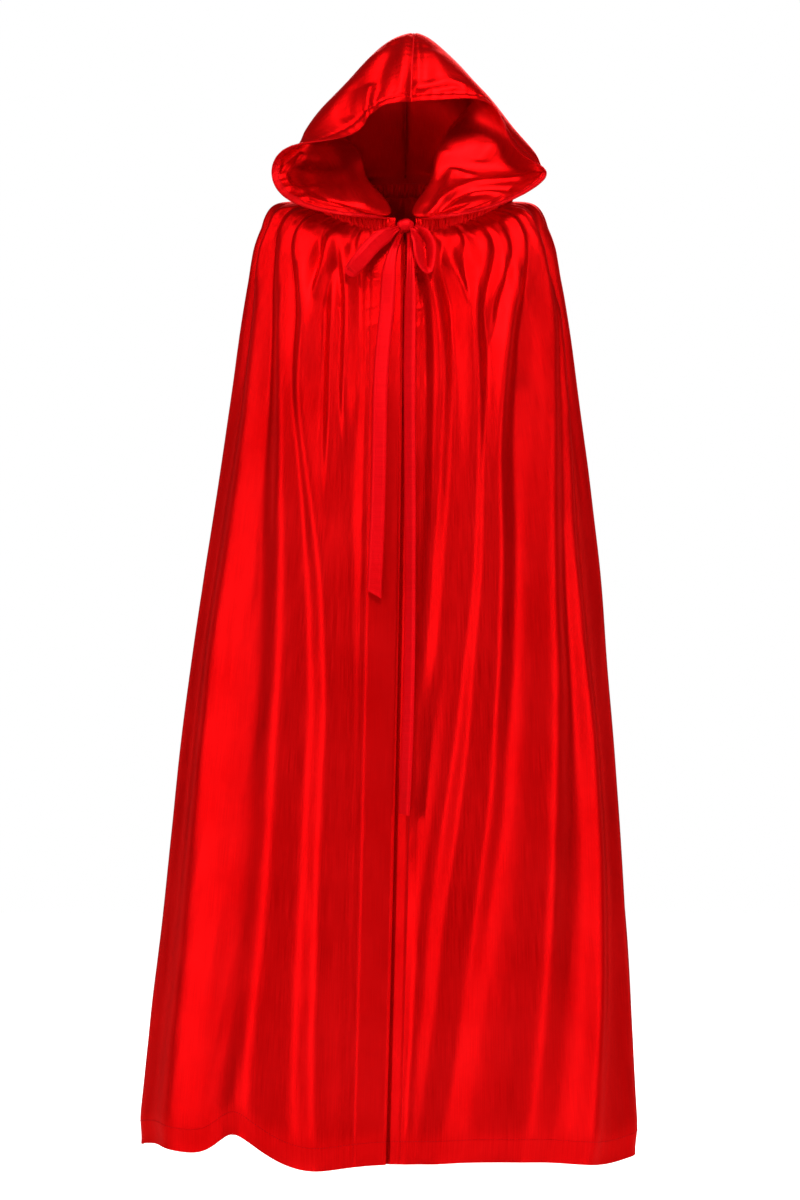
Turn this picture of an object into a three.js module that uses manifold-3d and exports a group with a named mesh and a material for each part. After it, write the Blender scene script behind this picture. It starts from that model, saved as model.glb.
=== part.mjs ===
// A hooded satin cape with a tie at the throat, hanging as it does from a wearer's shoulders.
// Millimetres, +Z up, the front of the cape faces -Y, and the wearer's left is +X.
// The origin is in the middle of the neck ring, level with the throat.
import * as THREE from "three";
import { mergeVertices } from "three/addons/utils/BufferGeometryUtils.js";
import Module from "manifold-3d";

const wasm = await Module();
wasm.setup();

// ---- Driving dimensions ----
const CLOTH = 2.0; // thickness that stands for one layer of cloth
const FACING_CLOTH = 1.5;
const SEAM_GAP = 0.4; // clearance between pieces that are sewn together
const NECK_HALF_WIDTH = 158;
const NECK_FRONT_DEPTH = 92;
const NECK_BACK_DEPTH = 90;
const THROAT_HEIGHT = -3; // middle of the neck casing at the throat
const SIDE_NECK_HEIGHT = 50;
const NAPE_HEIGHT = 62;
const CASING_HEIGHT = 24;
const CASING_DEPTH = 6;
const CASING_WALL = 1.4;
const CASING_END_GAP = 4; // from the knot's side to the casing's open end, along the front
const SHOULDER_HALF_WIDTH = 219;
const HEM_HALF_WIDTH = 377;
const HEM_FRONT_DEPTH = 192;
const HEM_BACK_DEPTH = 222;
const HEM_DROP = 1385; // from the origin down to the hem at the front
const HEM_LEAN = -26; // the skirt hangs a little towards the wearer's right
const SIDE_SEAM_ANGLE = 88; // degrees round the body from the front
const FACING_WIDTH = 50;
const FRONT_EDGE_X = -3; // where the upper front edge lies
const UNDERLAP = 28; // how far the wearer's left front runs on beneath the right one
const UNDERLAP_DEPTH = 8;
const UNDERLAP_EASE = [4, 34]; // over this stretch beside the front edge, the underlap dips in
const FOLD_INSET = 7; // keeps the folds' mean on the body's own outline
const RIBBON_WIDTH = 22;
const RIBBON_THICKNESS = 1.0;
const RIBBON_CLEARANCE = 7; // from the cloth behind a hanging ribbon
const KNOT_HALF_WIDTH = 13;
const KNOT_HEIGHT = 20;
const KNOT_DEPTH = 20;
const KNOT_FORWARD = 4; // the knot's middle stands this far in front of the neck ring
const KNOT_GAP = 0.7;
const HOOD_SEAT_GAP = CLOTH + 2 * SEAM_GAP; // the hood's cloth may lie flat above the casing
const CROWN_GAP = CLOTH + SEAM_GAP / 2; // each half stops this far from the crown seam's plane
const HEM_GAP = 1.9; // from the hood's cloth in to its turned hem
const CROWN_TAPE_WIDTH = 9;
const CROWN_TAPE_THICKNESS = 1.6;
const CROWN_TAPE_GAP = 1.2; // from the hood's cloth in to the tape
const CROWN_TAPE_SPAN = [0.03, 0.95]; // the stretch of the crown and back seam that it follows

const DEGREE = Math.PI / 180;
const point = (x, y, z) => new THREE.Vector3(x, y, z);
const smooth = (from, to, value) => THREE.MathUtils.smoothstep(value, from, to);
const mix = THREE.MathUtils.lerp;

// ---- The neck ring and the body of the cape ----
// Each station goes round the wearer at one level: half width, front and back depth,
// then the height at the side, the front and the back.
const below = (height) => height - CASING_HEIGHT / 2 - SEAM_GAP;
const STATIONS = [
  [NECK_HALF_WIDTH, NECK_FRONT_DEPTH, NECK_BACK_DEPTH,
    below(SIDE_NECK_HEIGHT), below(THROAT_HEIGHT), below(NAPE_HEIGHT)],
  [SHOULDER_HALF_WIDTH - 28, NECK_FRONT_DEPTH + 6, NECK_BACK_DEPTH + 15, 36, -38, 36],
  [SHOULDER_HALF_WIDTH - 8, NECK_FRONT_DEPTH + 13, NECK_BACK_DEPTH + 28, 12, -70, 6],
  [SHOULDER_HALF_WIDTH + 8, NECK_FRONT_DEPTH + 20, NECK_BACK_DEPTH + 40, -60, -122, -60],
  [mix(SHOULDER_HALF_WIDTH, HEM_HALF_WIDTH, 0.25), mix(NECK_FRONT_DEPTH, HEM_FRONT_DEPTH, 0.4),
    mix(NECK_BACK_DEPTH, HEM_BACK_DEPTH, 0.5), -0.19 * HEM_DROP, -0.21 * HEM_DROP, -0.19 * HEM_DROP],
  [mix(SHOULDER_HALF_WIDTH, HEM_HALF_WIDTH, 0.56), mix(NECK_FRONT_DEPTH, HEM_FRONT_DEPTH, 0.64),
    mix(NECK_BACK_DEPTH, HEM_BACK_DEPTH, 0.72), -0.45 * HEM_DROP, -0.46 * HEM_DROP, -0.45 * HEM_DROP],
  [mix(SHOULDER_HALF_WIDTH, HEM_HALF_WIDTH, 0.79), mix(NECK_FRONT_DEPTH, HEM_FRONT_DEPTH, 0.83),
    mix(NECK_BACK_DEPTH, HEM_BACK_DEPTH, 0.87), -0.72 * HEM_DROP, -0.73 * HEM_DROP, -0.72 * HEM_DROP],
  [HEM_HALF_WIDTH, HEM_FRONT_DEPTH, HEM_BACK_DEPTH, 15 - HEM_DROP, -HEM_DROP, -HEM_DROP],
];
const curveOf = (points) => new THREE.CatmullRomCurve3(points, false, "catmullrom", 0.5);
const widths = curveOf(STATIONS.map((s) => point(s[0], s[1], s[2])));
const heights = curveOf(STATIONS.map((s) => point(s[3], s[4], s[5])));

// Hanging folds: the angle of a fold's ridge below the shoulder and at the hem, how far it
// stands out, and its half width, all in degrees apart from the second last.
const FOLDS = [
  [-64, -62, 11, 9], [-44, -34, 13, 8], [-25, -17, 12, 7],
  [28, 6, 11, 7], [38, 15, 12, 6], [56, 36, 13, 9], [70, 58, 11, 8],
  [96, 92, 10, 9], [118, 122, 13, 9], [142, 146, 12, 9], [165, 170, 13, 8],
  [190, 187, 12, 8], [213, 209, 13, 9], [238, 234, 12, 9], [264, 266, 10, 9],
];

function foldHeight(angle, fall) {
  const turn = angle / DEGREE;
  const rise = smooth(0.03, 0.3, fall);
  return FOLDS.reduce((sum, [top, hem, height, width]) => {
    const away = THREE.MathUtils.euclideanModulo(turn - mix(top, hem, fall) + 180, 360) - 180;
    return sum + rise * height * Math.exp(-((away / width) ** 2));
  }, -FOLD_INSET * rise);
}

function bodyPoint(angle, level) {
  const w = widths.getPoint(level);
  const h = heights.getPoint(level);
  const c = Math.cos(angle);
  const [depth, centreHeight] = c > 0 ? [w.y, h.y] : [w.z, h.z];
  const height = h.x + (centreHeight - h.x) * c * c;
  const fall = THREE.MathUtils.clamp(-height / HEM_DROP, 0, 1);
  const out = foldHeight(angle, fall);
  return point((w.x + out) * Math.sin(angle) + HEM_LEAN * fall ** 1.5, -(depth + out) * c, height);
}

// The angle round the body at which a level reaches a given distance from the centre line.
const angleAt = (x, level) => Math.asin(x / widths.getPoint(level).x);

// How far forward the front cloth stands at a place in the front view.
function frontSurfaceY(x, z) {
  let [high, low] = [0, 1];
  let found = bodyPoint(0, 0);
  for (let i = 0; i < 30; i++) {
    const level = (high + low) / 2;
    const fall = THREE.MathUtils.clamp(-z / HEM_DROP, 0, 1);
    found = bodyPoint(angleAt(x - HEM_LEAN * fall ** 1.5, level), level);
    if (found.z > z) high = level;
    else low = level;
  }
  return found.y;
}

// ---- Sheets ----
// Bends a box onto a surface: the box's width runs along u, its height along 1 - v, and its
// depth from one offset to the other along the surface's own normal.
function sheet(surface, columns, rows, [inner, outer]) {
  const box = new THREE.BoxGeometry(1, 1, 1, columns, rows, 1);
  const at = box.attributes.position;
  const step = 1e-3;
  for (let i = 0; i < at.count; i++) {
    const [u, v, w] = [at.getX(i) + 0.5, 0.5 - at.getY(i), at.getZ(i) + 0.5];
    const across = surface(u + step, v).sub(surface(u - step, v));
    const up = surface(u, v - step).sub(surface(u, v + step));
    const normal = across.cross(up).normalize();
    const place = surface(u, v).addScaledVector(normal, mix(inner, outer, w));
    at.setXYZ(i, place.x, place.y, place.z);
  }
  box.deleteAttribute("normal");
  box.deleteAttribute("uv");
  return mergeVertices(box, 1e-3);
}

// Extends a surface past its own edges in a straight line, so that its normals hold there.
const extended = (surface) => (u, v) => {
  const [cu, cv] = [THREE.MathUtils.clamp(u, 0, 1), THREE.MathUtils.clamp(v, 0, 1)];
  const edge = surface(cu, cv);
  if (cu === u && cv === v) return edge;
  return edge.multiplyScalar(2).sub(surface(2 * cu - u, 2 * cv - v));
};

function solidOf(geometry) {
  return new wasm.Manifold(
    new wasm.Mesh({
      numProp: 3,
      vertProperties: geometry.attributes.position.array,
      triVerts: new Uint32Array(geometry.index.array),
    }),
  );
}

function geometryOf(solid) {
  const mesh = solid.getMesh();
  return new THREE.BufferGeometry()
    .setAttribute("position", new THREE.BufferAttribute(mesh.vertProperties, 3))
    .setIndex(new THREE.BufferAttribute(mesh.triVerts, 1));
}

// ---- Materials ----
const satin = new THREE.MeshStandardMaterial({ color: 0xd80010, roughness: 0.34, metalness: 0.3 });
const facingSatin = new THREE.MeshStandardMaterial({ color: 0xc8000e, roughness: 0.5, metalness: 0.1 });
const ribbonSatin = new THREE.MeshStandardMaterial({ color: 0xd20010, roughness: 0.45, metalness: 0.15 });

const cape = new THREE.Group();
function add(parent, name, geometry, material) {
  const mesh = new THREE.Mesh(geometry, material);
  mesh.name = name;
  parent.add(mesh);
}

// ---- Body panels ----
const PANEL_ROWS = 14;
const BACK_COLUMNS = 46;
const SIDE_COLUMNS = 19; // from the side seam to the facing's inner edge
const FACING_COLUMNS = 6;

// A front panel runs from its side seam to its facing's inner edge and on to its front edge,
// so that the facing, which backs the last stretch, follows the same columns.
function frontSurface(side, edgeX, facingX, dip) {
  const share = SIDE_COLUMNS / (SIDE_COLUMNS + FACING_COLUMNS);
  return extended((u, v) => {
    const line = angleAt(facingX, v);
    const angle = u < share
      ? mix(side * SIDE_SEAM_ANGLE * DEGREE, line, u / share)
      : mix(line, angleAt(edgeX, v), (u - share) / (1 - share));
    return bodyPoint(angle, v).add(point(0, dip(widths.getPoint(v).x * Math.sin(angle)), 0));
  });
}

function addFront(parent, name, surface, outwards) {
  const share = SIDE_COLUMNS / (SIDE_COLUMNS + FACING_COLUMNS);
  const turned = outwards ? surface : (u, v) => surface(1 - u, v);
  const columns = SIDE_COLUMNS + FACING_COLUMNS;
  add(parent, `${name}_front_panel`, sheet(turned, columns, PANEL_ROWS, [-CLOTH, 0]), satin);
  const strip = (u, v) => surface(outwards ? mix(share, 1, u) : mix(1, share, u), v);
  const layer = [-CLOTH - SEAM_GAP - FACING_CLOTH, -CLOTH - SEAM_GAP];
  add(parent, `${name}_front_facing`, sheet(strip, FACING_COLUMNS, PANEL_ROWS, layer), facingSatin);
}

function addBody(parent) {
  const seam = SIDE_SEAM_ANGLE * DEGREE + SEAM_GAP / NECK_HALF_WIDTH;
  const back = extended((u, v) => bodyPoint(mix(seam, 2 * Math.PI - seam, u), v));
  add(parent, "back_panel", sheet(back, BACK_COLUMNS, PANEL_ROWS, [-CLOTH, 0]), satin);

  addFront(parent, "right", frontSurface(-1, FRONT_EDGE_X, FRONT_EDGE_X - FACING_WIDTH, () => 0), true);
  // The left front dips inwards near its edge and runs on beneath the right front.
  const leftEdge = FRONT_EDGE_X - UNDERLAP;
  const [near, far] = UNDERLAP_EASE.map((distance) => FRONT_EDGE_X + distance);
  const dip = (x) => UNDERLAP_DEPTH * (1 - smooth(near, far, x));
  addFront(parent, "left", frontSurface(1, leftEdge, leftEdge + FACING_WIDTH, dip), false);
}

// ---- Neck casing and the ribbon in it ----
const NECK_COLUMNS = 36;

function ringPoint(angle, height = 0) {
  const c = Math.cos(angle);
  const [depth, centre] = c > 0 ? [NECK_FRONT_DEPTH, THROAT_HEIGHT] : [NECK_BACK_DEPTH, NAPE_HEIGHT];
  return point(NECK_HALF_WIDTH * Math.sin(angle), -depth * c,
    SIDE_NECK_HEIGHT + (centre - SIDE_NECK_HEIGHT) * c * c + height);
}

// A band that stands upright on the ring, from one end angle round the back to the other.
const band = (endAngle, height) => (u, v) =>
  ringPoint(mix(endAngle, 2 * Math.PI - endAngle, u), height * (0.5 - v));

function addNeck(parent) {
  const casingEnd = Math.asin((KNOT_HALF_WIDTH + CASING_END_GAP) / NECK_HALF_WIDTH);
  const knotSide = KNOT_HALF_WIDTH * Math.sqrt(1 - (KNOT_FORWARD / (KNOT_DEPTH / 2)) ** 2);
  const ribbonEnd = Math.asin((knotSide + SEAM_GAP) / NECK_HALF_WIDTH);
  const shell = sheet(band(casingEnd, CASING_HEIGHT), NECK_COLUMNS, 1, [-CASING_DEPTH / 2, CASING_DEPTH / 2]);
  const room = CASING_DEPTH / 2 - CASING_WALL;
  const hollow = sheet(band(ribbonEnd, CASING_HEIGHT - 2 * CASING_WALL), NECK_COLUMNS, 1, [-room, room]);
  add(parent, "neck_casing", geometryOf(solidOf(shell).subtract(solidOf(hollow))), satin);
  const ribbonHeight = CASING_HEIGHT - 2 * CASING_WALL - 2 * SEAM_GAP;
  const layer = [-RIBBON_THICKNESS / 2, RIBBON_THICKNESS / 2];
  const ribbon = sheet(band(ribbonEnd, ribbonHeight), NECK_COLUMNS, 1, layer);
  add(parent, "neck_ribbon", ribbon, ribbonSatin);
}

// ---- Hood ----
// Each half is a net of points: rows rise from the neck seam to the crown seam, and columns
// run from the face edge over the lobe, the fold at the neck, the side and the rear quarter to
// the back seam. The lowest row sits on the neck ring, at the angles in SEAT_ANGLES.
const above = (angle) => ringPoint(angle * DEGREE, CASING_HEIGHT / 2 + HOOD_SEAT_GAP);
const SEAT_ANGLES = [8, 40, 75, 110, 145, 178];
const HOOD_NET = {
  right: [
    [[-88, -118, 19], [-98, -104, 40], [-34, -84, 26], [-70, 10, 68], [-62, 72, 82]],
    [[-166, -93, 35], [-120, -76, 56], [-50, -54, 57], [-74, 22, 82], [-64, 84, 98]],
    [[-199, -58, 74], [-136, -44, 82], [-64, -36, 90], [-82, 30, 104], [-67, 92, 122]],
    [[-177, -74, 113], [-150, -32, 112], [-82, -24, 122], [-96, 38, 136], [-70, 95, 152]],
    [[-112, -112, 123], [-148, -52, 142], [-122, 6, 158], [-104, 46, 172], [-68, 93, 187]],
    [[-66, -121, 139], [-102, -80, 184], [-98, -22, 204], [-84, 38, 214], [-54, 78, 228]],
    [[-41, -112, 170], [-46, -82, 214], [-41, -36, 260], [-30, 10, 275], [-20, 58, 270]],
  ],
  left: [
    [[60, -118, 14], [84, -106, 34], [27, -84, 26], [70, 10, 68], [62, 72, 82]],
    [[142, -98, 32], [120, -78, 52], [35, -55, 57], [74, 22, 82], [64, 84, 98]],
    [[209, -55, 72], [152, -44, 80], [45, -38, 90], [82, 30, 104], [67, 92, 122]],
    [[184, -72, 97], [178, -40, 108], [56, -28, 126], [96, 38, 136], [70, 95, 152]],
    [[152, -94, 130], [153, -48, 150], [84, -8, 166], [104, 46, 172], [68, 93, 187]],
    [[126, -101, 177], [114, -66, 202], [102, -18, 208], [90, 38, 216], [58, 78, 228]],
    [[66, -104, 184], [70, -74, 228], [58, -32, 262], [48, 10, 275], [38, 58, 270]],
  ],
};
const BACK_SEAM = [[0, 98, 92], [0, 109, 112], [0, 118, 138], [0, 121, 168], [1, 116, 203], [3, 104, 232],
  [5, 94, 252]];
const CROWN_SEAM = [[8, -98, 181], [10, -76, 236], [12, -45, 272], [13, -5, 293], [11, 45, 287], [7, 84, 266]];
const HOOD_COLUMNS = 24;
const HOOD_ROWS = 22;
const TAPE_ROWS = 30;
const HOOD_MIDDLE = point(0, -10, 150); // the tape stands on edge towards this place

function hoodNet(side, sign) {
  const beside = ([x, y, z]) => point(x + sign * CROWN_GAP, y, z);
  const seat = SEAT_ANGLES.map((angle) => above(sign * angle));
  const middle = HOOD_NET[side].map((row, i) => [...row.map((p) => point(...p)), beside(BACK_SEAM[i])]);
  return [seat, ...middle, CROWN_SEAM.map(beside)];
}

function netSurface(net, sign) {
  const columns = net[0].map((_, k) => curveOf(net.map((row) => row[k])));
  const at = (u, v) => curveOf(columns.map((column) => column.getPoint(v))).getPoint(u);
  const last = SEAT_ANGLES.length - 1;
  const seat = (u) => {
    const k = Math.min(Math.floor(u * last), last - 1);
    return above(sign * mix(SEAT_ANGLES[k], SEAT_ANGLES[k + 1], u * last - k));
  };
  // The lowest row is moved onto the ring, and the rows above it follow less and less.
  return (u, v) => at(u, v).addScaledVector(seat(u).sub(at(u, 0)), (1 - v) ** 6);
}

function addHood(parent) {
  for (const [side, sign] of [["right", -1], ["left", 1]]) {
    const net = netSurface(hoodNet(side, sign), sign);
    // Seen from outside, the wearer's right half runs from its face edge to the back seam.
    const outward = sign < 0 ? (u, v) => net(1 - u, 1 - v) : (u, v) => net(u, 1 - v);
    const half = extended(outward);
    add(parent, `hood_${side}_half`, sheet(half, HOOD_COLUMNS, HOOD_ROWS, [-CLOTH, 0]), satin);

    // The face hem is the first column again, turned in behind the edge.
    const edge = (u) => (sign < 0 ? 1 - (1 - u) / HOOD_COLUMNS : u / HOOD_COLUMNS);
    const hem = (u, v) => half(edge(u), mix(1 / HOOD_ROWS, 1 - 1 / HOOD_ROWS, v));
    const layer = [-CLOTH - HEM_GAP - FACING_CLOTH, -CLOTH - HEM_GAP];
    add(parent, `hood_${side}_face_hem`, sheet(hem, 1, HOOD_ROWS - 2, layer), facingSatin);
  }
  // The crown seam's allowances stand inside the hood as one narrow tape, from the brow over
  // the crown and down the back of the head.
  const crown = curveOf(CROWN_SEAM.map((p) => point(...p)));
  const back = curveOf([above(180), ...BACK_SEAM.map((p) => point(...p)), crown.getPoint(1)]);
  const seam = (t) => (t < 0.5 ? crown.getPoint(2 * t) : back.getPoint(2 - 2 * t));
  const depth = CLOTH + CROWN_TAPE_GAP;
  const tape = extended((u, v) => {
    const place = seam(mix(...CROWN_TAPE_SPAN, v));
    const inward = HOOD_MIDDLE.clone().sub(place).setX(0).normalize();
    return place.addScaledVector(inward, mix(depth, depth + CROWN_TAPE_WIDTH, u));
  });
  const layer = [-CROWN_TAPE_THICKNESS / 2, CROWN_TAPE_THICKNESS / 2];
  add(parent, "hood_crown_seam_tape", sheet(tape, 1, TAPE_ROWS, layer), facingSatin);
}

// ---- Tie ----
// A ribbon along a path, its width turned by an angle about the path from the front plane.
// It gathers to a narrow end wherever it enters the knot, and opens over the length PINCH.
const PINCH = 0.12;
const PINCHED_WIDTH = 0.4;
const TAIL_STEPS = 24;
const LOOP_STEPS = 30;
function ribbonAlong(path, turn, steps, pinched) {
  const surface = (u, v) => {
    const t = THREE.MathUtils.clamp(v, 0, 1);
    const along = path.getTangent(t);
    const across = point(0, -1, 0).cross(along).normalize().applyAxisAngle(along, turn);
    const open = smooth(0, PINCH, t) * (pinched === 2 ? smooth(0, PINCH, 1 - t) : 1);
    const width = mix(PINCHED_WIDTH, 1, open) * RIBBON_WIDTH;
    return path.getPoint(t).addScaledVector(across, width * (u - 0.5))
      .addScaledVector(along, v - t);
  };
  return sheet(surface, 2, steps, [-RIBBON_THICKNESS / 2, RIBBON_THICKNESS / 2]);
}

const KNOT_Y = -NECK_FRONT_DEPTH - KNOT_FORWARD;
// Where a ribbon leaves the knot: at an angle from straight down, and forward of its middle.
const knotExit = (angle, forward = 0) => {
  const wide = Math.sqrt(1 - (forward / (KNOT_DEPTH / 2)) ** 2);
  return point((KNOT_HALF_WIDTH * wide + KNOT_GAP) * Math.sin(angle * DEGREE), KNOT_Y - forward,
    THROAT_HEIGHT - ((KNOT_HEIGHT / 2) * wide + KNOT_GAP) * Math.cos(angle * DEGREE));
};

const TAILS = {
  right: { exit: -25, turn: 0.12,
    places: [[-20, -48], [-26, -108], [-33, -183], [-38, -300], [-41, -430], [-46, -550]] },
  left: { exit: 25, turn: 0.75,
    places: [[7, -48], [7, -108], [6, -183], [6, -300], [7, -480], [5, -680], [-2, -872]] },
};
const LOOPS = {
  right: { turn: 0.25, exits: [[-80, 2], [-62, 6]],
    places: [[-44, -9, -26], [-70, -16, -56], [-79, -23, -70], [-72, -28, -64], [-46, -24, -34]] },
  left: { turn: 0.9, exits: [[80, 2], [62, 6]],
    places: [[32, -2, -20], [38, -8, -50], [32, -14, -68], [24, -19, -58], [19, -16, -34]] },
};
// How far a turned ribbon's edge reaches behind its middle.
const reach = (turn) => (RIBBON_WIDTH / 2) * Math.sin(turn);

function addTie(parent) {
  const knot = new THREE.SphereGeometry(1, 16, 12);
  knot.scale(KNOT_HALF_WIDTH, KNOT_DEPTH / 2, KNOT_HEIGHT / 2).translate(0, KNOT_Y, THROAT_HEIGHT);
  knot.deleteAttribute("normal");
  knot.deleteAttribute("uv");
  add(parent, "tie_knot", mergeVertices(knot, 1e-3), ribbonSatin);

  for (const [side, { exit, turn, places }] of Object.entries(TAILS)) {
    const clear = RIBBON_CLEARANCE + reach(turn);
    const hanging = places.map(([x, z]) => point(x, frontSurfaceY(x, z) - clear, z));
    const path = curveOf([knotExit(exit), ...hanging]);
    add(parent, `tie_${side}_tail`, ribbonAlong(path, turn, TAIL_STEPS, 1), ribbonSatin);
  }
  for (const [side, { exits: [out, back], turn, places }] of Object.entries(LOOPS)) {
    const round = places.map(([x, y, z]) => point(x, KNOT_Y - reach(turn) + y, z));
    const path = curveOf([knotExit(...out), ...round, knotExit(...back)]);
    add(parent, `tie_${side}_loop`, ribbonAlong(path, turn, LOOP_STEPS, 2), ribbonSatin);
  }
}

addBody(cape);
addNeck(cape);
addHood(cape);
addTie(cape);

export default cape;
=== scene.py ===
"""A red satin hooded cape, hanging as it is worn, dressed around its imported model.

Metres, +Z up, the front of the cape faces -Y, and the wearer's left is +X. Each sub-assembly is a
class that works its surfaces out with numpy, and each piece's place is in its own mesh.
"""

import logging
import math
from dataclasses import dataclass
from enum import Enum
from typing import Callable

import bmesh
import bpy
import numpy as np
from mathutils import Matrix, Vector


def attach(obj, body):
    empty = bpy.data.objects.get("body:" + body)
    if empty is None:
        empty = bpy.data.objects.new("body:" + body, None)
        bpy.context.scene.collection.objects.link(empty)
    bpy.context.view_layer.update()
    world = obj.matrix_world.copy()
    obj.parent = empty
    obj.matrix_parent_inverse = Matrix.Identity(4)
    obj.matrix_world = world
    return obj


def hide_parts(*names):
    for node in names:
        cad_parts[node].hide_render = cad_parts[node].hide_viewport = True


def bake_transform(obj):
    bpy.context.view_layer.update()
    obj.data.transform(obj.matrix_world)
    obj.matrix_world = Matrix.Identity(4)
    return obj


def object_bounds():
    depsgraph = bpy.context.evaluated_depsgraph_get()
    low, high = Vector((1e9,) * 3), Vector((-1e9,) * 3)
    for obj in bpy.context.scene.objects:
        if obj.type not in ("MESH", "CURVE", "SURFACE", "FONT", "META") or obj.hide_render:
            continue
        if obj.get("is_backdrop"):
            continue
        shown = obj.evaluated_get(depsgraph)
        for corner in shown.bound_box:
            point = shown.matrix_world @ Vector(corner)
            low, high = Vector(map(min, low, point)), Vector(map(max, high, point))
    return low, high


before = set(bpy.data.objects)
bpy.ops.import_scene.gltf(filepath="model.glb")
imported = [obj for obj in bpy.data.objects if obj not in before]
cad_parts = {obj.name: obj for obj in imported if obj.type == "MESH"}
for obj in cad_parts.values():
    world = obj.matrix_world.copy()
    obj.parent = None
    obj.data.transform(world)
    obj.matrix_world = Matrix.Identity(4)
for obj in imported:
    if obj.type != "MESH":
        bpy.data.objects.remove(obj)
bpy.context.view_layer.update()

log = logging.getLogger("cape")
Array = np.ndarray
Surface = Callable[[Array, Array], Array]


# ---------------------------------------------------------------- numbers and curves


def smooth(start: float, end: float, value: Array) -> Array:
    """A smooth step from 0 at start to 1 at end: 3t^2 - 2t^3."""
    t = np.clip((value - start) / (end - start), 0.0, 1.0)
    return t * t * (3.0 - 2.0 * t)


def mix(a: Array, b: Array, t: Array) -> Array:
    """A straight mix from a to b."""
    return a + (b - a) * t


def bump(value: Array, middle: float, width: float) -> Array:
    """A bell curve of height 1: exp of minus the squared distance over the width."""
    return np.exp(-(((value - middle) / width) ** 2))


def unit(vectors: Array) -> Array:
    """The vectors scaled to length one."""
    return vectors / np.maximum(np.linalg.norm(vectors, axis=-1, keepdims=True), 1e-12)


def spline_weights(knots: Array, places: Array) -> Array:
    """Weights that turn values at the knots into a natural cubic spline at other places.

    A natural cubic's second derivatives solve a tridiagonal system in its values, so the curve
    is a plain weighted sum of them.

    Args:
        knots: rising parameter values, one for each given value.
        places: parameter values, in an array of any shape.

    Returns:
        An array of the shape of places with one more axis, as long as knots.
    """
    knots = np.asarray(knots, float)
    count, step = len(knots), np.diff(knots)
    inner = np.arange(1, count - 1)
    system, slopes = np.eye(count), np.zeros((count, count))
    system[inner, inner - 1] = step[:-1]
    system[inner, inner] = 2.0 * (step[:-1] + step[1:])
    system[inner, inner + 1] = step[1:]
    slopes[inner, inner - 1] = 6.0 / step[:-1]
    slopes[inner, inner] = -6.0 / step[:-1] - 6.0 / step[1:]
    slopes[inner, inner + 1] = 6.0 / step[1:]
    bend = np.linalg.solve(system, slopes)
    flat = np.ravel(places)
    k = np.clip(np.searchsorted(knots, flat) - 1, 0, count - 2)
    b = (flat - knots[k]) / step[k]
    a = 1.0 - b
    weights = (((a**3 - a)[:, None] * bend[k] + (b**3 - b)[:, None] * bend[k + 1])
               * (step[k] ** 2 / 6.0)[:, None])
    rows = np.arange(len(flat))
    weights[rows, k] += a
    weights[rows, k + 1] += b
    return weights.reshape(np.shape(places) + (count,))


def spline(knots: Array, values: Array, places: Array) -> Array:
    """A natural cubic spline through the values, read at the places."""
    return spline_weights(knots, places) @ np.asarray(values, float)


def ripple(x: Array, seed: Array | float) -> Array:
    """A repeatable irregular wave between about -1 and 1: four sines whose rates share no factor."""
    rates = np.array([1.0, 1.93, 3.17, 5.41])
    phases = np.asarray(seed)[..., None] * np.array([1.7, 2.9, 4.3, 7.1])
    heights = np.array([0.46, 0.28, 0.17, 0.09])
    return np.sin(np.asarray(x)[..., None] * rates + phases) @ heights


def distances(points: Array) -> Array:
    """How far along a line of points each one lies, from 0 at the first."""
    return np.concatenate([[0], np.cumsum(np.linalg.norm(np.diff(points, axis=0), axis=1))])


# ---------------------------------------------------------------- meshes


def surface_normals(surface: Surface, u: Array, v: Array, step: float = 2e-3) -> Array:
    """Unit normals of a surface: the cross product of its two small differences, u then -v."""
    across = surface(u + step, v) - surface(u - step, v)
    up = surface(u, v - step) - surface(u, v + step)
    return unit(np.cross(across, up))


def grid_quads(rows: int, columns: int) -> Array:
    """Quads of a grid of (rows + 1) x (columns + 1) points, whose normals are u cross -v."""
    index = np.arange((rows + 1) * (columns + 1)).reshape(rows + 1, columns + 1)
    corners = [index[1:, :-1], index[1:, 1:], index[:-1, 1:], index[:-1, :-1]]
    return np.stack(corners, -1).reshape(-1, 4)


SHARP_TURN = math.radians(60.0)  # edges that turn by more than this stay sharp


def mesh_object(name: str, points: Array, faces: Array, material: bpy.types.Material,
                uv: Array | None = None) -> bpy.types.Object:
    """Puts points and faces into a new smooth-shaded object at the origin.

    Args:
        name: the object's name.
        points: (n, 3) places in metres.
        faces: (m, k) point numbers, all faces with k corners.
        material: the finish.
        uv: (n, 2) cloth coordinates in metres, kept in the map named Cloth.

    Returns:
        The new object, linked into the scene.
    """
    mesh = bpy.data.meshes.new(name)
    corners = faces.shape[1]
    mesh.vertices.add(len(points))
    mesh.vertices.foreach_set("co", np.ascontiguousarray(points, np.float32).ravel())
    mesh.loops.add(faces.size)
    mesh.loops.foreach_set("vertex_index", np.ascontiguousarray(faces, np.int32).ravel())
    mesh.polygons.add(len(faces))
    mesh.polygons.foreach_set("loop_start", np.arange(0, faces.size, corners, dtype=np.int32))
    mesh.update(calc_edges=True)
    mesh.validate()
    if uv is not None:
        layer = mesh.uv_layers.new(name="Cloth")
        layer.data.foreach_set("uv", np.ascontiguousarray(uv[faces.ravel()], np.float32).ravel())
    mesh.polygons.foreach_set("use_smooth", np.ones(len(mesh.polygons), dtype=bool))
    mesh.set_sharp_from_angle(angle=SHARP_TURN)
    mesh.materials.append(material)
    piece = bpy.data.objects.new(name, mesh)
    bpy.context.scene.collection.objects.link(piece)
    return piece


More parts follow.
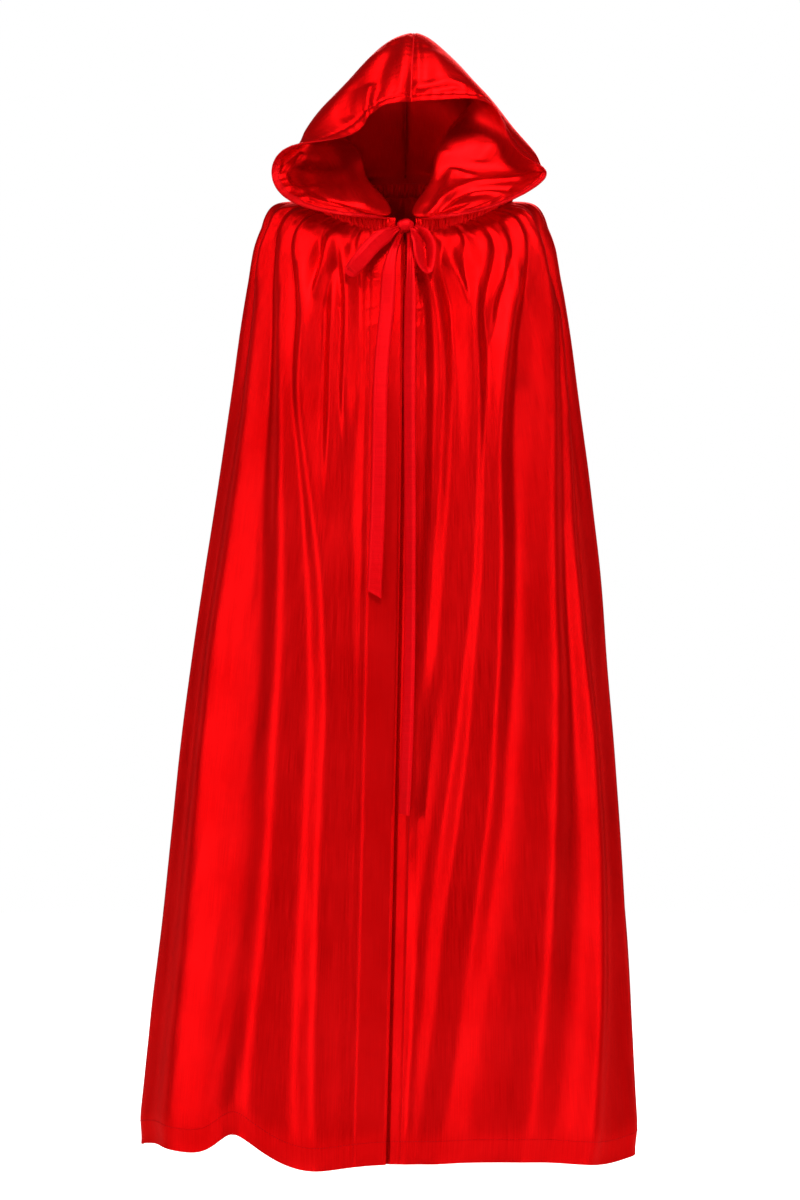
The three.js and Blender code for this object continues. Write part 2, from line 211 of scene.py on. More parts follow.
def cloth_sheet(name: str, surface: Surface, u: Array, v: Array, layers: tuple[float, float],
                size: tuple[float, float], material: bpy.types.Material) -> bpy.types.Object:
    """A closed thin shell over a surface, between two offsets along its normals.

    Args:
        name: the object's name.
        surface: gives points for arrays of u and v.
        u: rising column parameters.
        v: rising row parameters.
        layers: inner and outer offset in metres, outwards being positive.
        size: the sheet's flat width and length, which scale its cloth coordinates.
        material: the finish.

    Returns:
        The new object.
    """
    grid_u, grid_v = np.meshgrid(u, v)
    middle = surface(grid_u, grid_v)
    normal = unit(np.cross(np.gradient(middle, axis=1), -np.gradient(middle, axis=0)))
    inner, outer = (middle + normal * offset for offset in layers)
    points = np.concatenate([outer.reshape(-1, 3), inner.reshape(-1, 3)])
    rows, columns = len(v) - 1, len(u) - 1
    count = outer.shape[0] * outer.shape[1]
    top = grid_quads(rows, columns)
    index = np.arange(count).reshape(rows + 1, columns + 1)
    rim = np.concatenate([index[0, ::-1], index[1:, 0], index[-1, 1:], index[-2:0:-1, -1]])
    after = np.roll(rim, -1)
    wall = np.stack([rim, rim + count, after + count, after], -1)
    faces = np.concatenate([top, top[:, ::-1] + count, wall[:, ::-1]])
    uv = np.stack([grid_u * size[0], grid_v * size[1]], -1).reshape(-1, 2)
    return mesh_object(name, points, faces, material, np.concatenate([uv, uv]))


def tube_mesh(name: str, rings: Array, material: bpy.types.Material, size: tuple[float, float],
              ends: bool = True) -> bpy.types.Object:
    """A closed tube through rings of points, with a flat cap at each end.

    Args:
        name: the object's name.
        rings: (n, m, 3) points, each ring going round the same way.
        material: the finish.
        size: length along the tube and round it, which scale the cloth coordinates.
        ends: whether the two ends are capped.

    Returns:
        The new object.
    """
    count, around = rings.shape[:2]
    index = np.arange(count * around).reshape(count, around)
    after = np.roll(index, -1, axis=1)
    faces = np.stack([index[:-1], index[1:], after[1:], after[:-1]], -1).reshape(-1, 4)
    points = rings.reshape(-1, 3)
    along, turn = np.meshgrid(np.linspace(0, 1, count), np.arange(around) / around, indexing="ij")
    uv = np.stack([along * size[0], turn * size[1]], -1).reshape(-1, 2)
    if ends:
        middles = rings[[0, -1]].mean(axis=1)
        first, last = len(points), len(points) + 1
        points = np.concatenate([points, middles])
        uv = np.concatenate([uv, [[0, 0], [size[0], 0]]])
        pair = np.arange(0, around, 2)
        caps = [np.stack([np.full(len(pair), first), index[0, pair], after[0, pair],
                          after[0, (pair + 1) % around]], -1),
                np.stack([np.full(len(pair), last), after[-1, (pair + 1) % around],
                          after[-1, pair], index[-1, pair]], -1)]
        faces = np.concatenate([faces, *caps])
    piece = mesh_object(name, points, faces, material, uv)
    return outward(piece)


def outward(piece: bpy.types.Object) -> bpy.types.Object:
    """Turns a closed mesh's faces outwards where its signed volume is negative."""
    mesh = piece.data
    mesh.calc_loop_triangles()
    corners = np.empty(len(mesh.loop_triangles) * 3, np.int32)
    mesh.loop_triangles.foreach_get("vertices", corners)
    points = np.empty(len(mesh.vertices) * 3, np.float32)
    mesh.vertices.foreach_get("co", points)
    a, b, c = np.moveaxis(points.reshape(-1, 3)[corners.reshape(-1, 3)].astype(float), 1, 0)
    if (a * np.cross(b, c)).sum() < 0:
        mesh.flip_normals()
    return piece


def weld(piece: bpy.types.Object) -> None:
    """Merges a closed ring's first and last points."""
    mesh = bmesh.new()
    mesh.from_mesh(piece.data)
    bmesh.ops.remove_doubles(mesh, verts=mesh.verts, dist=1e-6)
    bmesh.ops.recalc_face_normals(mesh, faces=mesh.faces)
    mesh.to_mesh(piece.data)
    mesh.free()


# ---------------------------------------------------------------- finishes


def socket(group: bpy.types.NodeTree, name: str, kind: str, way: str, default: float | None = None) -> None:
    """Adds one named socket to a node group's interface."""
    made = group.interface.new_socket(name=name, in_out=way, socket_type=kind)
    if default is not None:
        made.default_value = default


class NodeMaker:
    """Adds nodes to a tree and links them, so that a material reads as a list of steps."""

    def __init__(self, tree: bpy.types.NodeTree) -> None:
        """Keeps the tree that nodes are added to."""
        self.tree = tree

    def add(self, kind: str, inputs: dict | None = None, **settings: object) -> bpy.types.Node:
        """Adds a node, sets its properties and fills its inputs with values or links."""
        node = self.tree.nodes.new(kind)
        for name, value in settings.items():
            setattr(node, name, value)
        for name, value in (inputs or {}).items():
            if isinstance(value, bpy.types.NodeSocket):
                self.tree.links.new(value, node.inputs[name])
            else:
                node.inputs[name].default_value = value
        return node


def weave_group() -> bpy.types.NodeTree:
    """The shared weave: warp floats that run down the cloth, crossed by fine weft steps.

    Height is two sine bands in cloth coordinates plus long thin slubs, and Slub alone tints.
    """
    group = bpy.data.node_groups.new("SatinWeave", "ShaderNodeTree")
    socket(group, "Cloth", "NodeSocketVector", "INPUT")
    socket(group, "Threads", "NodeSocketFloat", "INPUT", 700.0)
    socket(group, "Height", "NodeSocketFloat", "OUTPUT")
    socket(group, "Slub", "NodeSocketFloat", "OUTPUT")
    make = NodeMaker(group)
    given = make.add("NodeGroupInput")
    result = make.add("NodeGroupOutput")
    parts = make.add("ShaderNodeSeparateXYZ", {"Vector": given.outputs["Cloth"]})
    bands = []
    for axis, share in (("X", 1.0), ("Y", 0.6)):
        angle = make.add("ShaderNodeMath", {0: parts.outputs[axis], 1: given.outputs["Threads"]},
                         operation="MULTIPLY")
        turned = make.add("ShaderNodeMath", {0: angle.outputs[0], 1: 2 * math.pi * share},
                          operation="MULTIPLY")
        bands.append(make.add("ShaderNodeMath", {0: turned.outputs[0]}, operation="SINE"))
    stretched = make.add("ShaderNodeMapping", {"Vector": given.outputs["Cloth"],
                                               "Scale": (900.0, 26.0, 1.0)})
    slub = make.add("ShaderNodeTexNoise", {"Vector": stretched.outputs[0], "Scale": 1.0,
                                           "Detail": 2.0})
    woven = make.add("ShaderNodeMath", {0: bands[0].outputs[0], 1: bands[1].outputs[0]},
                     operation="MULTIPLY")
    height = make.add("ShaderNodeMath", {0: woven.outputs[0], 1: 0.35, 2: slub.outputs[0]},
                      operation="MULTIPLY_ADD")
    group.links.new(height.outputs[0], result.inputs["Height"])
    group.links.new(slub.outputs[0], result.inputs["Slub"])
    return group


def tone_group() -> bpy.types.NodeTree:
    """The shared cloth tone: two dye colours mixed by broad noise and by the weave's slubs."""
    group = bpy.data.node_groups.new("ClothTone", "ShaderNodeTree")
    socket(group, "Slub", "NodeSocketFloat", "INPUT", 0.5)
    socket(group, "Deep", "NodeSocketColor", "INPUT")
    socket(group, "Bright", "NodeSocketColor", "INPUT")
    socket(group, "Color", "NodeSocketColor", "OUTPUT")
    make = NodeMaker(group)
    given = make.add("NodeGroupInput")
    result = make.add("NodeGroupOutput")
    place = make.add("ShaderNodeTexCoord")
    broad = make.add("ShaderNodeTexNoise", {"Vector": place.outputs["Object"], "Scale": 7.0,
                                            "Detail": 3.0})
    share = make.add("ShaderNodeMath", {0: broad.outputs[0], 1: given.outputs["Slub"]},
                     operation="ADD")
    ranged = make.add("ShaderNodeMapRange", {"Value": share.outputs[0], "From Min": 0.7,
                                             "From Max": 1.3})
    blend = make.add("ShaderNodeMix", {"Factor": ranged.outputs[0]}, data_type="RGBA")
    group.links.new(given.outputs["Deep"], blend.inputs[6])
    group.links.new(given.outputs["Bright"], blend.inputs[7])
    group.links.new(blend.outputs[2], result.inputs["Color"])
    return group


@dataclass(frozen=True)
class Satin:
    """One satin finish: its two dye tones, how it shines and how strongly its weave shows."""

    name: str
    deep: tuple[float, float, float]
    bright: tuple[float, float, float]
    metallic: float
    roughness: float
    weave: float
    threads: float = 620.0

    def material(self, groups: dict[str, bpy.types.NodeTree]) -> bpy.types.Material:
        """Builds the material around the shared weave and tone groups."""
        made = bpy.data.materials.new(self.name)
        made.use_nodes = True
        tree = made.node_tree
        tree.nodes.clear()
        make = NodeMaker(tree)
        cloth = make.add("ShaderNodeUVMap", uv_map="Cloth")
        weave = make.add("ShaderNodeGroup", node_tree=groups["weave"])
        tree.links.new(cloth.outputs[0], weave.inputs["Cloth"])
        weave.inputs["Threads"].default_value = self.threads
        tone = make.add("ShaderNodeGroup", node_tree=groups["tone"])
        tree.links.new(weave.outputs["Slub"], tone.inputs["Slub"])
        tone.inputs["Deep"].default_value = (*self.deep, 1.0)
        tone.inputs["Bright"].default_value = (*self.bright, 1.0)
        rough = make.add("ShaderNodeMapRange", {
            "Value": weave.outputs["Slub"], "From Min": 0.3, "From Max": 0.7,
            "To Min": self.roughness - 0.04, "To Max": self.roughness + 0.05})
        relief = make.add("ShaderNodeBump", {"Height": weave.outputs["Height"],
                                             "Strength": self.weave, "Distance": 0.0004})
        shader = make.add("ShaderNodeBsdfPrincipled", {
            "Base Color": tone.outputs["Color"], "Roughness": rough.outputs[0],
            "Metallic": self.metallic, "Specular IOR Level": 0.25, "Normal": relief.outputs[0],
            "Specular Tint": (1.0, 0.10, 0.09, 1.0)})
        end = make.add("ShaderNodeOutputMaterial")
        tree.links.new(shader.outputs[0], end.inputs[0])
        return made


SATIN = Satin("cape_satin", (0.56, 0.0008, 0.0014), (0.72, 0.0032, 0.0042), 0.85, 0.38, 0.25)
UNDERSIDE = Satin("turned_satin", (0.50, 0.0008, 0.002), (0.62, 0.002, 0.005), 0.3, 0.5, 0.3)
RIBBON = Satin("ribbon_satin", (0.56, 0.0008, 0.0025), (0.68, 0.002, 0.006), 0.4, 0.42, 0.35, 900.0)
THREAD = Satin("sewing_thread", (0.30, 0.0005, 0.002), (0.42, 0.001, 0.003), 0.0, 0.6, 0.1, 2500.0)


class Finishes:
    """Builds every material once and hands them out by name."""

    def __init__(self) -> None:
        """Makes the shared groups and the four finishes."""
        groups = {"weave": weave_group(), "tone": tone_group()}
        self.satin = SATIN.material(groups)
        self.underside = UNDERSIDE.material(groups)
        self.ribbon = RIBBON.material(groups)
        self.thread = THREAD.material(groups)


# ---------------------------------------------------------------- stitching


@dataclass(frozen=True)
class StitchRow:
    """A row of running stitches that follows a line on a surface."""

    surface: Surface
    u: Array
    v: Array
    pitch: float = 0.0034
    fill: float = 0.66
    radius: float = 0.00045
    lift: float = 0.0003

    def points(self) -> tuple[Array, Array]:
        """Works the stitches out.

        Each is a spindle of two pointed ends and a ring of six, laid along the line's tangent
        and sunk so that its ends dip into the cloth.

        Returns:
            The points of all the stitches, and their triangles.
        """
        line = self.surface(self.u, self.v)
        normal = surface_normals(self.surface, self.u, self.v)
        gone = distances(line)

        def read(places: Array, values: Array) -> Array:
            """Values of the line, read at distances along it."""
            return np.stack([np.interp(places, gone, values[:, k]) for k in range(3)], -1)

        middles = np.arange(self.pitch / 2, gone[-1], self.pitch)
        centre = read(middles, line)
        out = unit(read(middles, normal))
        along = unit(read(middles + 1e-4, line) - read(middles - 1e-4, line))
        side = np.cross(out, along)
        half = self.pitch * self.fill / 2
        turn = np.arange(6) * math.pi / 3
        shape = np.array([[-half, -0.5 * self.radius, 0], [half, -0.5 * self.radius, 0]]
                         + [[x, self.radius * math.sin(a), self.radius * math.cos(a)]
                            for x in (-0.5 * half, 0.5 * half) for a in turn])
        basis = np.stack([along, out, side], 1)
        points = centre[:, None] + out[:, None] * self.lift + shape @ basis
        ring = np.arange(6)
        after = (ring + 1) % 6
        faces = np.concatenate([
            np.stack([np.zeros(6, int), 2 + after, 2 + ring], -1),
            np.stack([2 + ring, 2 + after, 8 + ring], -1),
            np.stack([2 + after, 8 + after, 8 + ring], -1),
            np.stack([np.ones(6, int), 8 + ring, 8 + after], -1)])
        every = faces[None] + (np.arange(len(middles)) * len(shape))[:, None, None]
        return points.reshape(-1, 3), every.reshape(-1, 3)


def stitching(name: str, rows: list[StitchRow], material: bpy.types.Material) -> bpy.types.Object:
    """Joins rows of stitches into one object."""
    points, faces, count = [], [], 0
    for row in rows:
        made, triangles = row.points()
        points.append(made)
        faces.append(triangles + count)
        count += len(made)
    every = np.concatenate(points)
    piece = mesh_object(name, every, np.concatenate(faces), material, every[:, [0, 2]])
    return outward(piece)


# ---------------------------------------------------------------- the body of the cape


@dataclass(frozen=True)
class Fold:
    """One hanging fold.

    angles are its ridge's places round the body, in degrees from the front, at the falls in
    FOLD_FALLS; height is how far it stands out in metres; width is its half width in degrees;
    it swells in below top and fades out above foot, both as shares of the drop to the hem.
    """

    angles: tuple[float, ...]
    height: float
    width: float
    top: float = -0.03
    foot: float = 3.0


FOLD_FALLS = (0.0, 0.03, 0.075, 0.15, 0.35, 0.62, 0.94)
FRONT_FOLDS = (
    Fold((-87, -86, -85, -84, -82, -81, -80), 0.006, 11.0),
    Fold((-70, -70, -67, -64, -62.5, -62.5, -60.5), 0.009, 13.0),
    Fold((-57.5, -55, -51.5, -45.5, -37, -33, -33), 0.009, 11.0),
    Fold((-48.5, -46, -40, -37, -24, -19, -16), 0.010, 8.5),
    Fold((-36.5, -32.5, -36, -37, -37, -37, -37), 0.008, 6.5, -0.03, 0.10),
    Fold((-31, -29.5, -27.5, -25.5, -24, -23, -23), 0.006, 5.0, 0.03, 0.33),
    Fold((-33.5, -27, -22.5, -20, -20, -20, -20), 0.007, 5.0, -0.03, 0.22),
    Fold((18, 11, 11, 12.5, 8.5, 4.5, 2), 0.006, 6.0, -0.03, 0.50),
    Fold((26, 20, 23, 25, 25, 25, 25), 0.008, 6.0, -0.03, 0.10),
    Fold((34.5, 33, 27.5, 24.5, 20.5, 11.5, 3.5), 0.010, 8.0),
    Fold((43, 43, 35, 33, 33, 33, 33), 0.009, 6.5, -0.03, 0.10),
    Fold((53.5, 51.5, 45, 35.5, 29, 23, 12), 0.010, 8.5),
    Fold((63, 63, 66, 62.5, 49.5, 43.5, 34), 0.010, 11.5),
    Fold((74, 73, 72, 70, 61.5, 63, 54), 0.009, 9.0, 0.04),
    Fold((87, 86, 85, 84, 82, 80, 78), 0.007, 11.0),
)
BACK_FOLDS = (
    Fold((103, 104, 105, 106, 105, 103, 100), 0.008, 11.5),
    Fold((118, 119, 121, 123, 124, 126, 128), 0.010, 11.0),
    Fold((137, 138, 138, 140, 141, 144, 147), 0.009, 10.5),
    Fold((154, 155, 156, 157, 158, 160, 163), 0.010, 10.5),
    Fold((175, 176, 177, 177, 176, 178, 180), 0.009, 11.0),
    Fold((198, 197, 197, 196, 195, 194, 196), 0.010, 10.5),
    Fold((216, 215, 214, 214, 214, 212, 214), 0.009, 10.5),
    Fold((233, 232, 232, 233, 234, 235, 234), 0.010, 11.0),
    Fold((252, 252, 252, 253, 254, 256, 257), 0.008, 12.0),
)


@dataclass(frozen=True)
class PleatSet:
    """Pleats gathered into the neck seam.

    count is how many would go round the whole neck, and height is theirs in metres. Measured
    down the cloth from the seam, they start to swell, are full and have faded out at the three
    distances given. seed makes one set's irregularity differ from another's.
    """

    count: float
    height: float
    start: float
    full: float
    end: float
    seed: float


PLEAT_SETS = (
    PleatSet(110.0, 0.0016, -0.02, 0.0, 0.04, 4.0),
    PleatSet(62.0, 0.0038, -0.01, 0.006, 0.10, 1.0),
    PleatSet(33.0, 0.0062, 0.0, 0.04, 0.20, 2.0),
    PleatSet(19.0, 0.0042, 0.015, 0.12, 0.34, 3.0),
)


@dataclass
class CapeBody:
    """The back panel, the two fronts with their facings, and their stitching."""

    neck_half_width: float = 0.158
    neck_front: float = 0.092
    neck_back: float = 0.090
    shoulder: float = 0.219
    hem_half_width: float = 0.377
    hem_front: float = 0.192
    hem_back: float = 0.222
    drop: float = 1.385
    lean: float = -0.026
    edge_x: float = -0.003
    underlap: float = 0.028
    underlap_depth: float = 0.007
    facing: float = 0.050
    facing_share: float = 0.76  # where the facing's inner edge is, from side seam to front edge
    lap_groove: float = 0.9  # how deep the groove beside the upper edge is, as a share of the dip
    groove_width: float = 0.0022
    edge_roll: float = 0.0030
    roll_width: float = 0.004
    fold_hold: float = 0.85  # the share of folds and wrinkles that the facings take away
    pleat_hold: float = 0.75
    hem_tuck: float = 0.006
    cloth: float = 0.0007
    side_seam: float = math.radians(88.0)

    def __post_init__(self) -> None:
        """Sets out the levels: half width, front and back depth, then side, front and back height."""
        shoulder, hem = self.shoulder, self.hem_half_width
        front, back = self.neck_front, self.neck_back
        self.stations = np.array([
            [self.neck_half_width, front, back, 0.0395, -0.0135, 0.0515],
            [shoulder - 0.028, front + 0.006, back + 0.015, 0.036, -0.038, 0.036],
            [shoulder - 0.008, front + 0.013, back + 0.028, 0.012, -0.070, 0.006],
            [shoulder + 0.008, front + 0.020, back + 0.040, -0.060, -0.122, -0.060],
            *[[mix(shoulder, hem, wide), mix(front, self.hem_front, fore), mix(back, self.hem_back, aft),
               -fall * self.drop, -(fall + 0.01) * self.drop, -fall * self.drop]
              for wide, fore, aft, fall in ((0.25, 0.4, 0.5, 0.19), (0.56, 0.64, 0.72, 0.45),
                                            (0.79, 0.83, 0.87, 0.72))],
            [hem, self.hem_front, self.hem_back, 0.010 - self.drop, -self.drop, -self.drop],
        ])
        self.levels = np.linspace(0, 1, len(self.stations))
        # How far the cloth has run down from the neck seam at each level.
        self.run = np.array([0.0, 0.035, 0.065, 0.14, 0.33, 0.69, 1.05, 1.44])
        every = FRONT_FOLDS + BACK_FOLDS
        self.ridges = np.array([fold.angles for fold in every], float)
        self.heights, self.widths, self.tops, self.feet = (
            np.array([getattr(fold, name) for fold in every]) for name in ("height", "width", "top", "foot"))

    def folds(self, angle: Array, fall: Array, run: Array) -> Array:
        """The hanging folds: ridges with narrow round tops and long slopes that meet in creases.

        A fold is a hyperbola across its ridge, height x (1 - 1.35 x (sqrt(q^2 + 0.07) - 0.265)),
        where q is the distance from the ridge over the fold's width. The cloth is the soft
        maximum of them all, log(1 + sum of exp), less a floor that sinks below the neck.
        """
        ridge = spline_weights(FOLD_FALLS, np.clip(fall, -0.02, 1.0)) @ self.ridges.T
        turn = np.degrees(angle)[..., None]
        drift = 0.7 * ripple(fall[..., None] * 8.0, self.heights * 5000.0 + self.ridges[:, 0])
        away = (turn - ridge - drift * smooth(0.02, 0.2, fall[..., None]) + 180.0) % 360.0 - 180.0
        q = np.abs(away) / self.widths
        bulge = 1 - 1.35 * (np.sqrt(q * q + 0.07) - 0.265)
        level = fall[..., None]
        life = smooth(self.tops - 0.02, self.tops + 0.06, level)
        life = life * (1 - smooth(self.feet - 0.05, self.feet + 0.08, level))
        swell = 1 + 0.16 * ripple(level * 8.0, self.widths * 3.1 + self.ridges[:, 3])
        begun = smooth(-0.005, 0.05, run)
        depth = mix(0.004, 0.011, smooth(0.0, 0.12, run)) - 0.002 * smooth(0.2, 0.6, run)
        tall = begun[..., None] * (self.heights + depth[..., None])
        soft = mix(0.0013, 0.0036, smooth(0.12, 0.5, run))
        value = tall * life * swell * bulge / soft[..., None]
        return soft * (np.log1p(np.exp(value).sum(-1)) - 0.7) - depth * begun

    @staticmethod
    def wrinkles(angle: Array, run: Array) -> Array:
        """Small drag lines that lie slantwise over the folds, here and there: crossed ripples."""
        slanted = ripple(angle * 13.0 + run * 9.0, 1.3) * ripple(run * 5.0 - angle * 5.0, 8.0)
        patches = smooth(0.1, 0.8, ripple(run * 6.0 + angle * 7.0, 2.2))
        fine = ripple(angle * 47.0 - run * 23.0, 5.1) * patches
        return (0.0012 * slanted + 0.0003 * fine) * smooth(0.05, 0.25, run)

    @staticmethod
    def gathers(angle: Array, run: Array) -> Array:
        """The pleats that spread from the neck seam.

        Each set is a rounded triangle wave round the neck, arcsin(0.93 sin), whose spacing
        wanders and whose height varies from patch to patch. The sets with fewer pleats reach
        further down, so the pleats merge as they fall.
        """
        total = np.zeros(np.broadcast(angle, run).shape)
        for pleats in PLEAT_SETS:
            phase = (angle * pleats.count / 2 + 1.3 * ripple(angle * 4.0, pleats.seed)
                     + 0.5 * ripple(run * 14.0, pleats.seed))
            crest = np.arcsin(0.93 * np.sin(2 * phase)) / 2.4
            patch = 0.7 + 0.6 * ripple(angle * 9.0 + 3.0 * run, pleats.seed + 5.0)
            total += (pleats.height * patch * crest * smooth(pleats.start, pleats.full, run)
                      * (1 - smooth(pleats.full, pleats.end, run)))
        return total

    @staticmethod
    def flatness(across: Array) -> Array:
        """How much the facings hold the front flat: 1 over their strips, 0 out in the folds."""
        return smooth(-0.078, -0.052, across) * (1 - smooth(0.014, 0.036, across))

    def point(self, angle: Array, level: Array) -> Array:
        """A point of the cape: an oval that widens as it falls, with folds standing out of it."""
        size = spline(self.levels, self.stations, level)
        c, s = np.cos(angle), np.sin(angle)
        front = c > 0
        depth = np.where(front, size[..., 1], size[..., 2])
        height = size[..., 3] + (np.where(front, size[..., 4], size[..., 5]) - size[..., 3]) * c * c
        fall = np.clip(-height / self.drop, 0.0, 1.02)
        run = np.interp(level, self.levels, self.run)
        across = size[..., 0] * s
        held = np.where(front, self.flatness(across), 0.0)
        out = (self.folds(angle, fall, run) + self.wrinkles(angle, run)) * (1 - self.fold_hold * held)
        out = out + self.gathers(angle, run) * (1 - self.pleat_hold * held)
        out = out - self.hem_tuck * smooth(0.982, 1.0, level)
        hem = smooth(0.75, 1.0, level) * self.hem_wave(np.degrees(angle))
        return np.stack([(size[..., 0] + out) * s + self.lean * fall**1.5, -(depth + out) * c,
                         height + hem], -1)

    @staticmethod
    def hem_wave(turn: Array) -> Array:
        """How the hem rises and dips as it goes round: a few broad bell curves, in metres."""
        turn = (turn + 180.0) % 360.0 - 180.0
        return (0.037 * bump(turn, -37.0, 8.5) - 0.012 * bump(turn, -18.0, 11.0)
                + 0.009 * bump(turn, -70.0, 14.0) - 0.018 * bump(turn, 62.0, 22.0)
                + 0.008 * np.cos(np.radians(3 * turn)) * (np.abs(turn) > 90))

    def half_width(self, level: Array) -> Array:
        """The half width of the cape at a level."""
        return spline(self.levels, self.stations[:, 0], level)

    def angle_at(self, across: float, level: Array) -> Array:
        """The angle at which a level reaches a distance from the centre line."""
        return np.arcsin(across / self.half_width(level))

    def front(self, side: int, edge: float, facing_edge: float, dip: float) -> Surface:
        """A front panel: the side seam is at u = 0 and the front edge at u = 1.

        Under the lap the cloth lies further in by the dip, with a groove along the upper edge,
        and each front edge rolls back a little.
        """
        share = self.facing_share

        def surface(u: Array, v: Array) -> Array:
            """The panel's points."""
            line = self.angle_at(facing_edge, v)
            angle = np.where(u < share, mix(side * self.side_seam, line, u / share),
                             mix(line, self.angle_at(edge, v), (u - share) / (1 - share)))
            place = self.point(angle, v)
            across = self.half_width(v) * np.sin(angle)
            place[..., 1] += dip * (1 - smooth(self.edge_x + 0.003, self.edge_x + 0.026, across))
            place[..., 1] += self.lap_groove * dip * bump(across, self.edge_x + 0.0015, self.groove_width)
            place[..., 1] += self.edge_roll * (1 - smooth(0.0, self.roll_width, np.abs(across - edge)))
            return place + self.pucker(across - facing_edge, v)

        return surface

    @staticmethod
    def pucker(away: Array, v: Array) -> Array:
        """Small slanting puckers beside a stitched line, in patches, and the groove of its stitches."""
        patches = 0.35 + 0.65 * ripple(v * 37.0, 9.0)
        height = 0.0009 * patches * bump(away, 0.0, 0.012) * ripple(v * 160.0 + away * 90.0, 4.0)
        height = height - 0.0018 * bump(away, 0.0, 0.0028)
        return np.stack([np.zeros_like(height), -height, np.zeros_like(height)], -1)

    def back(self) -> Surface:
        """The back panel, from the wearer's left side seam round to the right one."""
        return lambda u, v: self.point(mix(self.side_seam, 2 * math.pi - self.side_seam, u), v)

    def rows(self, count: int) -> Array:
        """Row parameters that lie closer together near the neck, where the pleats are fine."""
        return np.linspace(0, 1, count) ** 1.18

    def build(self, finishes: Finishes) -> None:
        """Makes the panels, facings and stitching, and fastens them to the body."""
        rows = self.rows(320)
        back = cloth_sheet("back_panel_satin", self.back(), np.linspace(0, 1, 200), self.rows(240),
                           (-self.cloth, 0.0), (1.15, 1.46), finishes.satin)
        self.fasten(back, "back_panel", (1.05, 1.50), 1.20)
        left_edge = self.edge_x - self.underlap
        fronts = {
            "right": (-1, self.edge_x, self.edge_x - self.facing, 0.0),
            "left": (1, left_edge, left_edge + self.facing, self.underlap_depth),
        }
        stitches = []
        for name, (side, edge, facing_edge, dip) in fronts.items():
            surface = self.front(side, edge, facing_edge, dip)
            turned = surface if side < 0 else (lambda u, v, make=surface: make(1 - u, v))
            panel = cloth_sheet(f"{name}_front_satin", turned, np.linspace(0, 1, 150), rows,
                                (-self.cloth, 0.0), (0.62, 1.46), finishes.satin)
            self.fasten(panel, f"{name}_front_panel", (0.52, 1.50), 0.57)
            inner = np.linspace(self.facing_share - 0.003, 0.997, 22)
            strip = inner if side < 0 else 1 - inner[::-1]
            facing = cloth_sheet(f"{name}_front_facing_satin", turned, strip, rows[::2],
                                 (-2.4 * self.cloth, -1.4 * self.cloth), (0.62, 1.46), finishes.underside)
            self.fasten(facing, f"{name}_front_facing", (self.facing, 1.45), self.facing * 1.45)
            line = self.facing_share + 0.005
            stitches.append(StitchRow(turned, np.full(1500, line if side < 0 else 1 - line),
                                      np.linspace(0.03, 0.997, 1500)))
        around = np.linspace(0.004, 0.996, 1500)
        for surface in (self.front(*fronts["right"]), self.back(),
                        lambda u, v: self.front(*fronts["left"])(1 - u, v)):
            stitches.append(StitchRow(surface, around, np.full(1500, 0.987), 0.0042))
        thread = stitching("body_stitching", stitches, finishes.thread)
        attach(thread, "cape_body")
        log.info("body_stitching")

    @staticmethod
    def fasten(piece: bpy.types.Object, node: str, flat: tuple[float, float], area: float) -> None:
        """Makes a cloth piece stand for its node and ride on the body, and logs its name."""
        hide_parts(node)
        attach(piece, "cape_body")
        log.info("%s", piece.name)


# ---------------------------------------------------------------- the neck casing


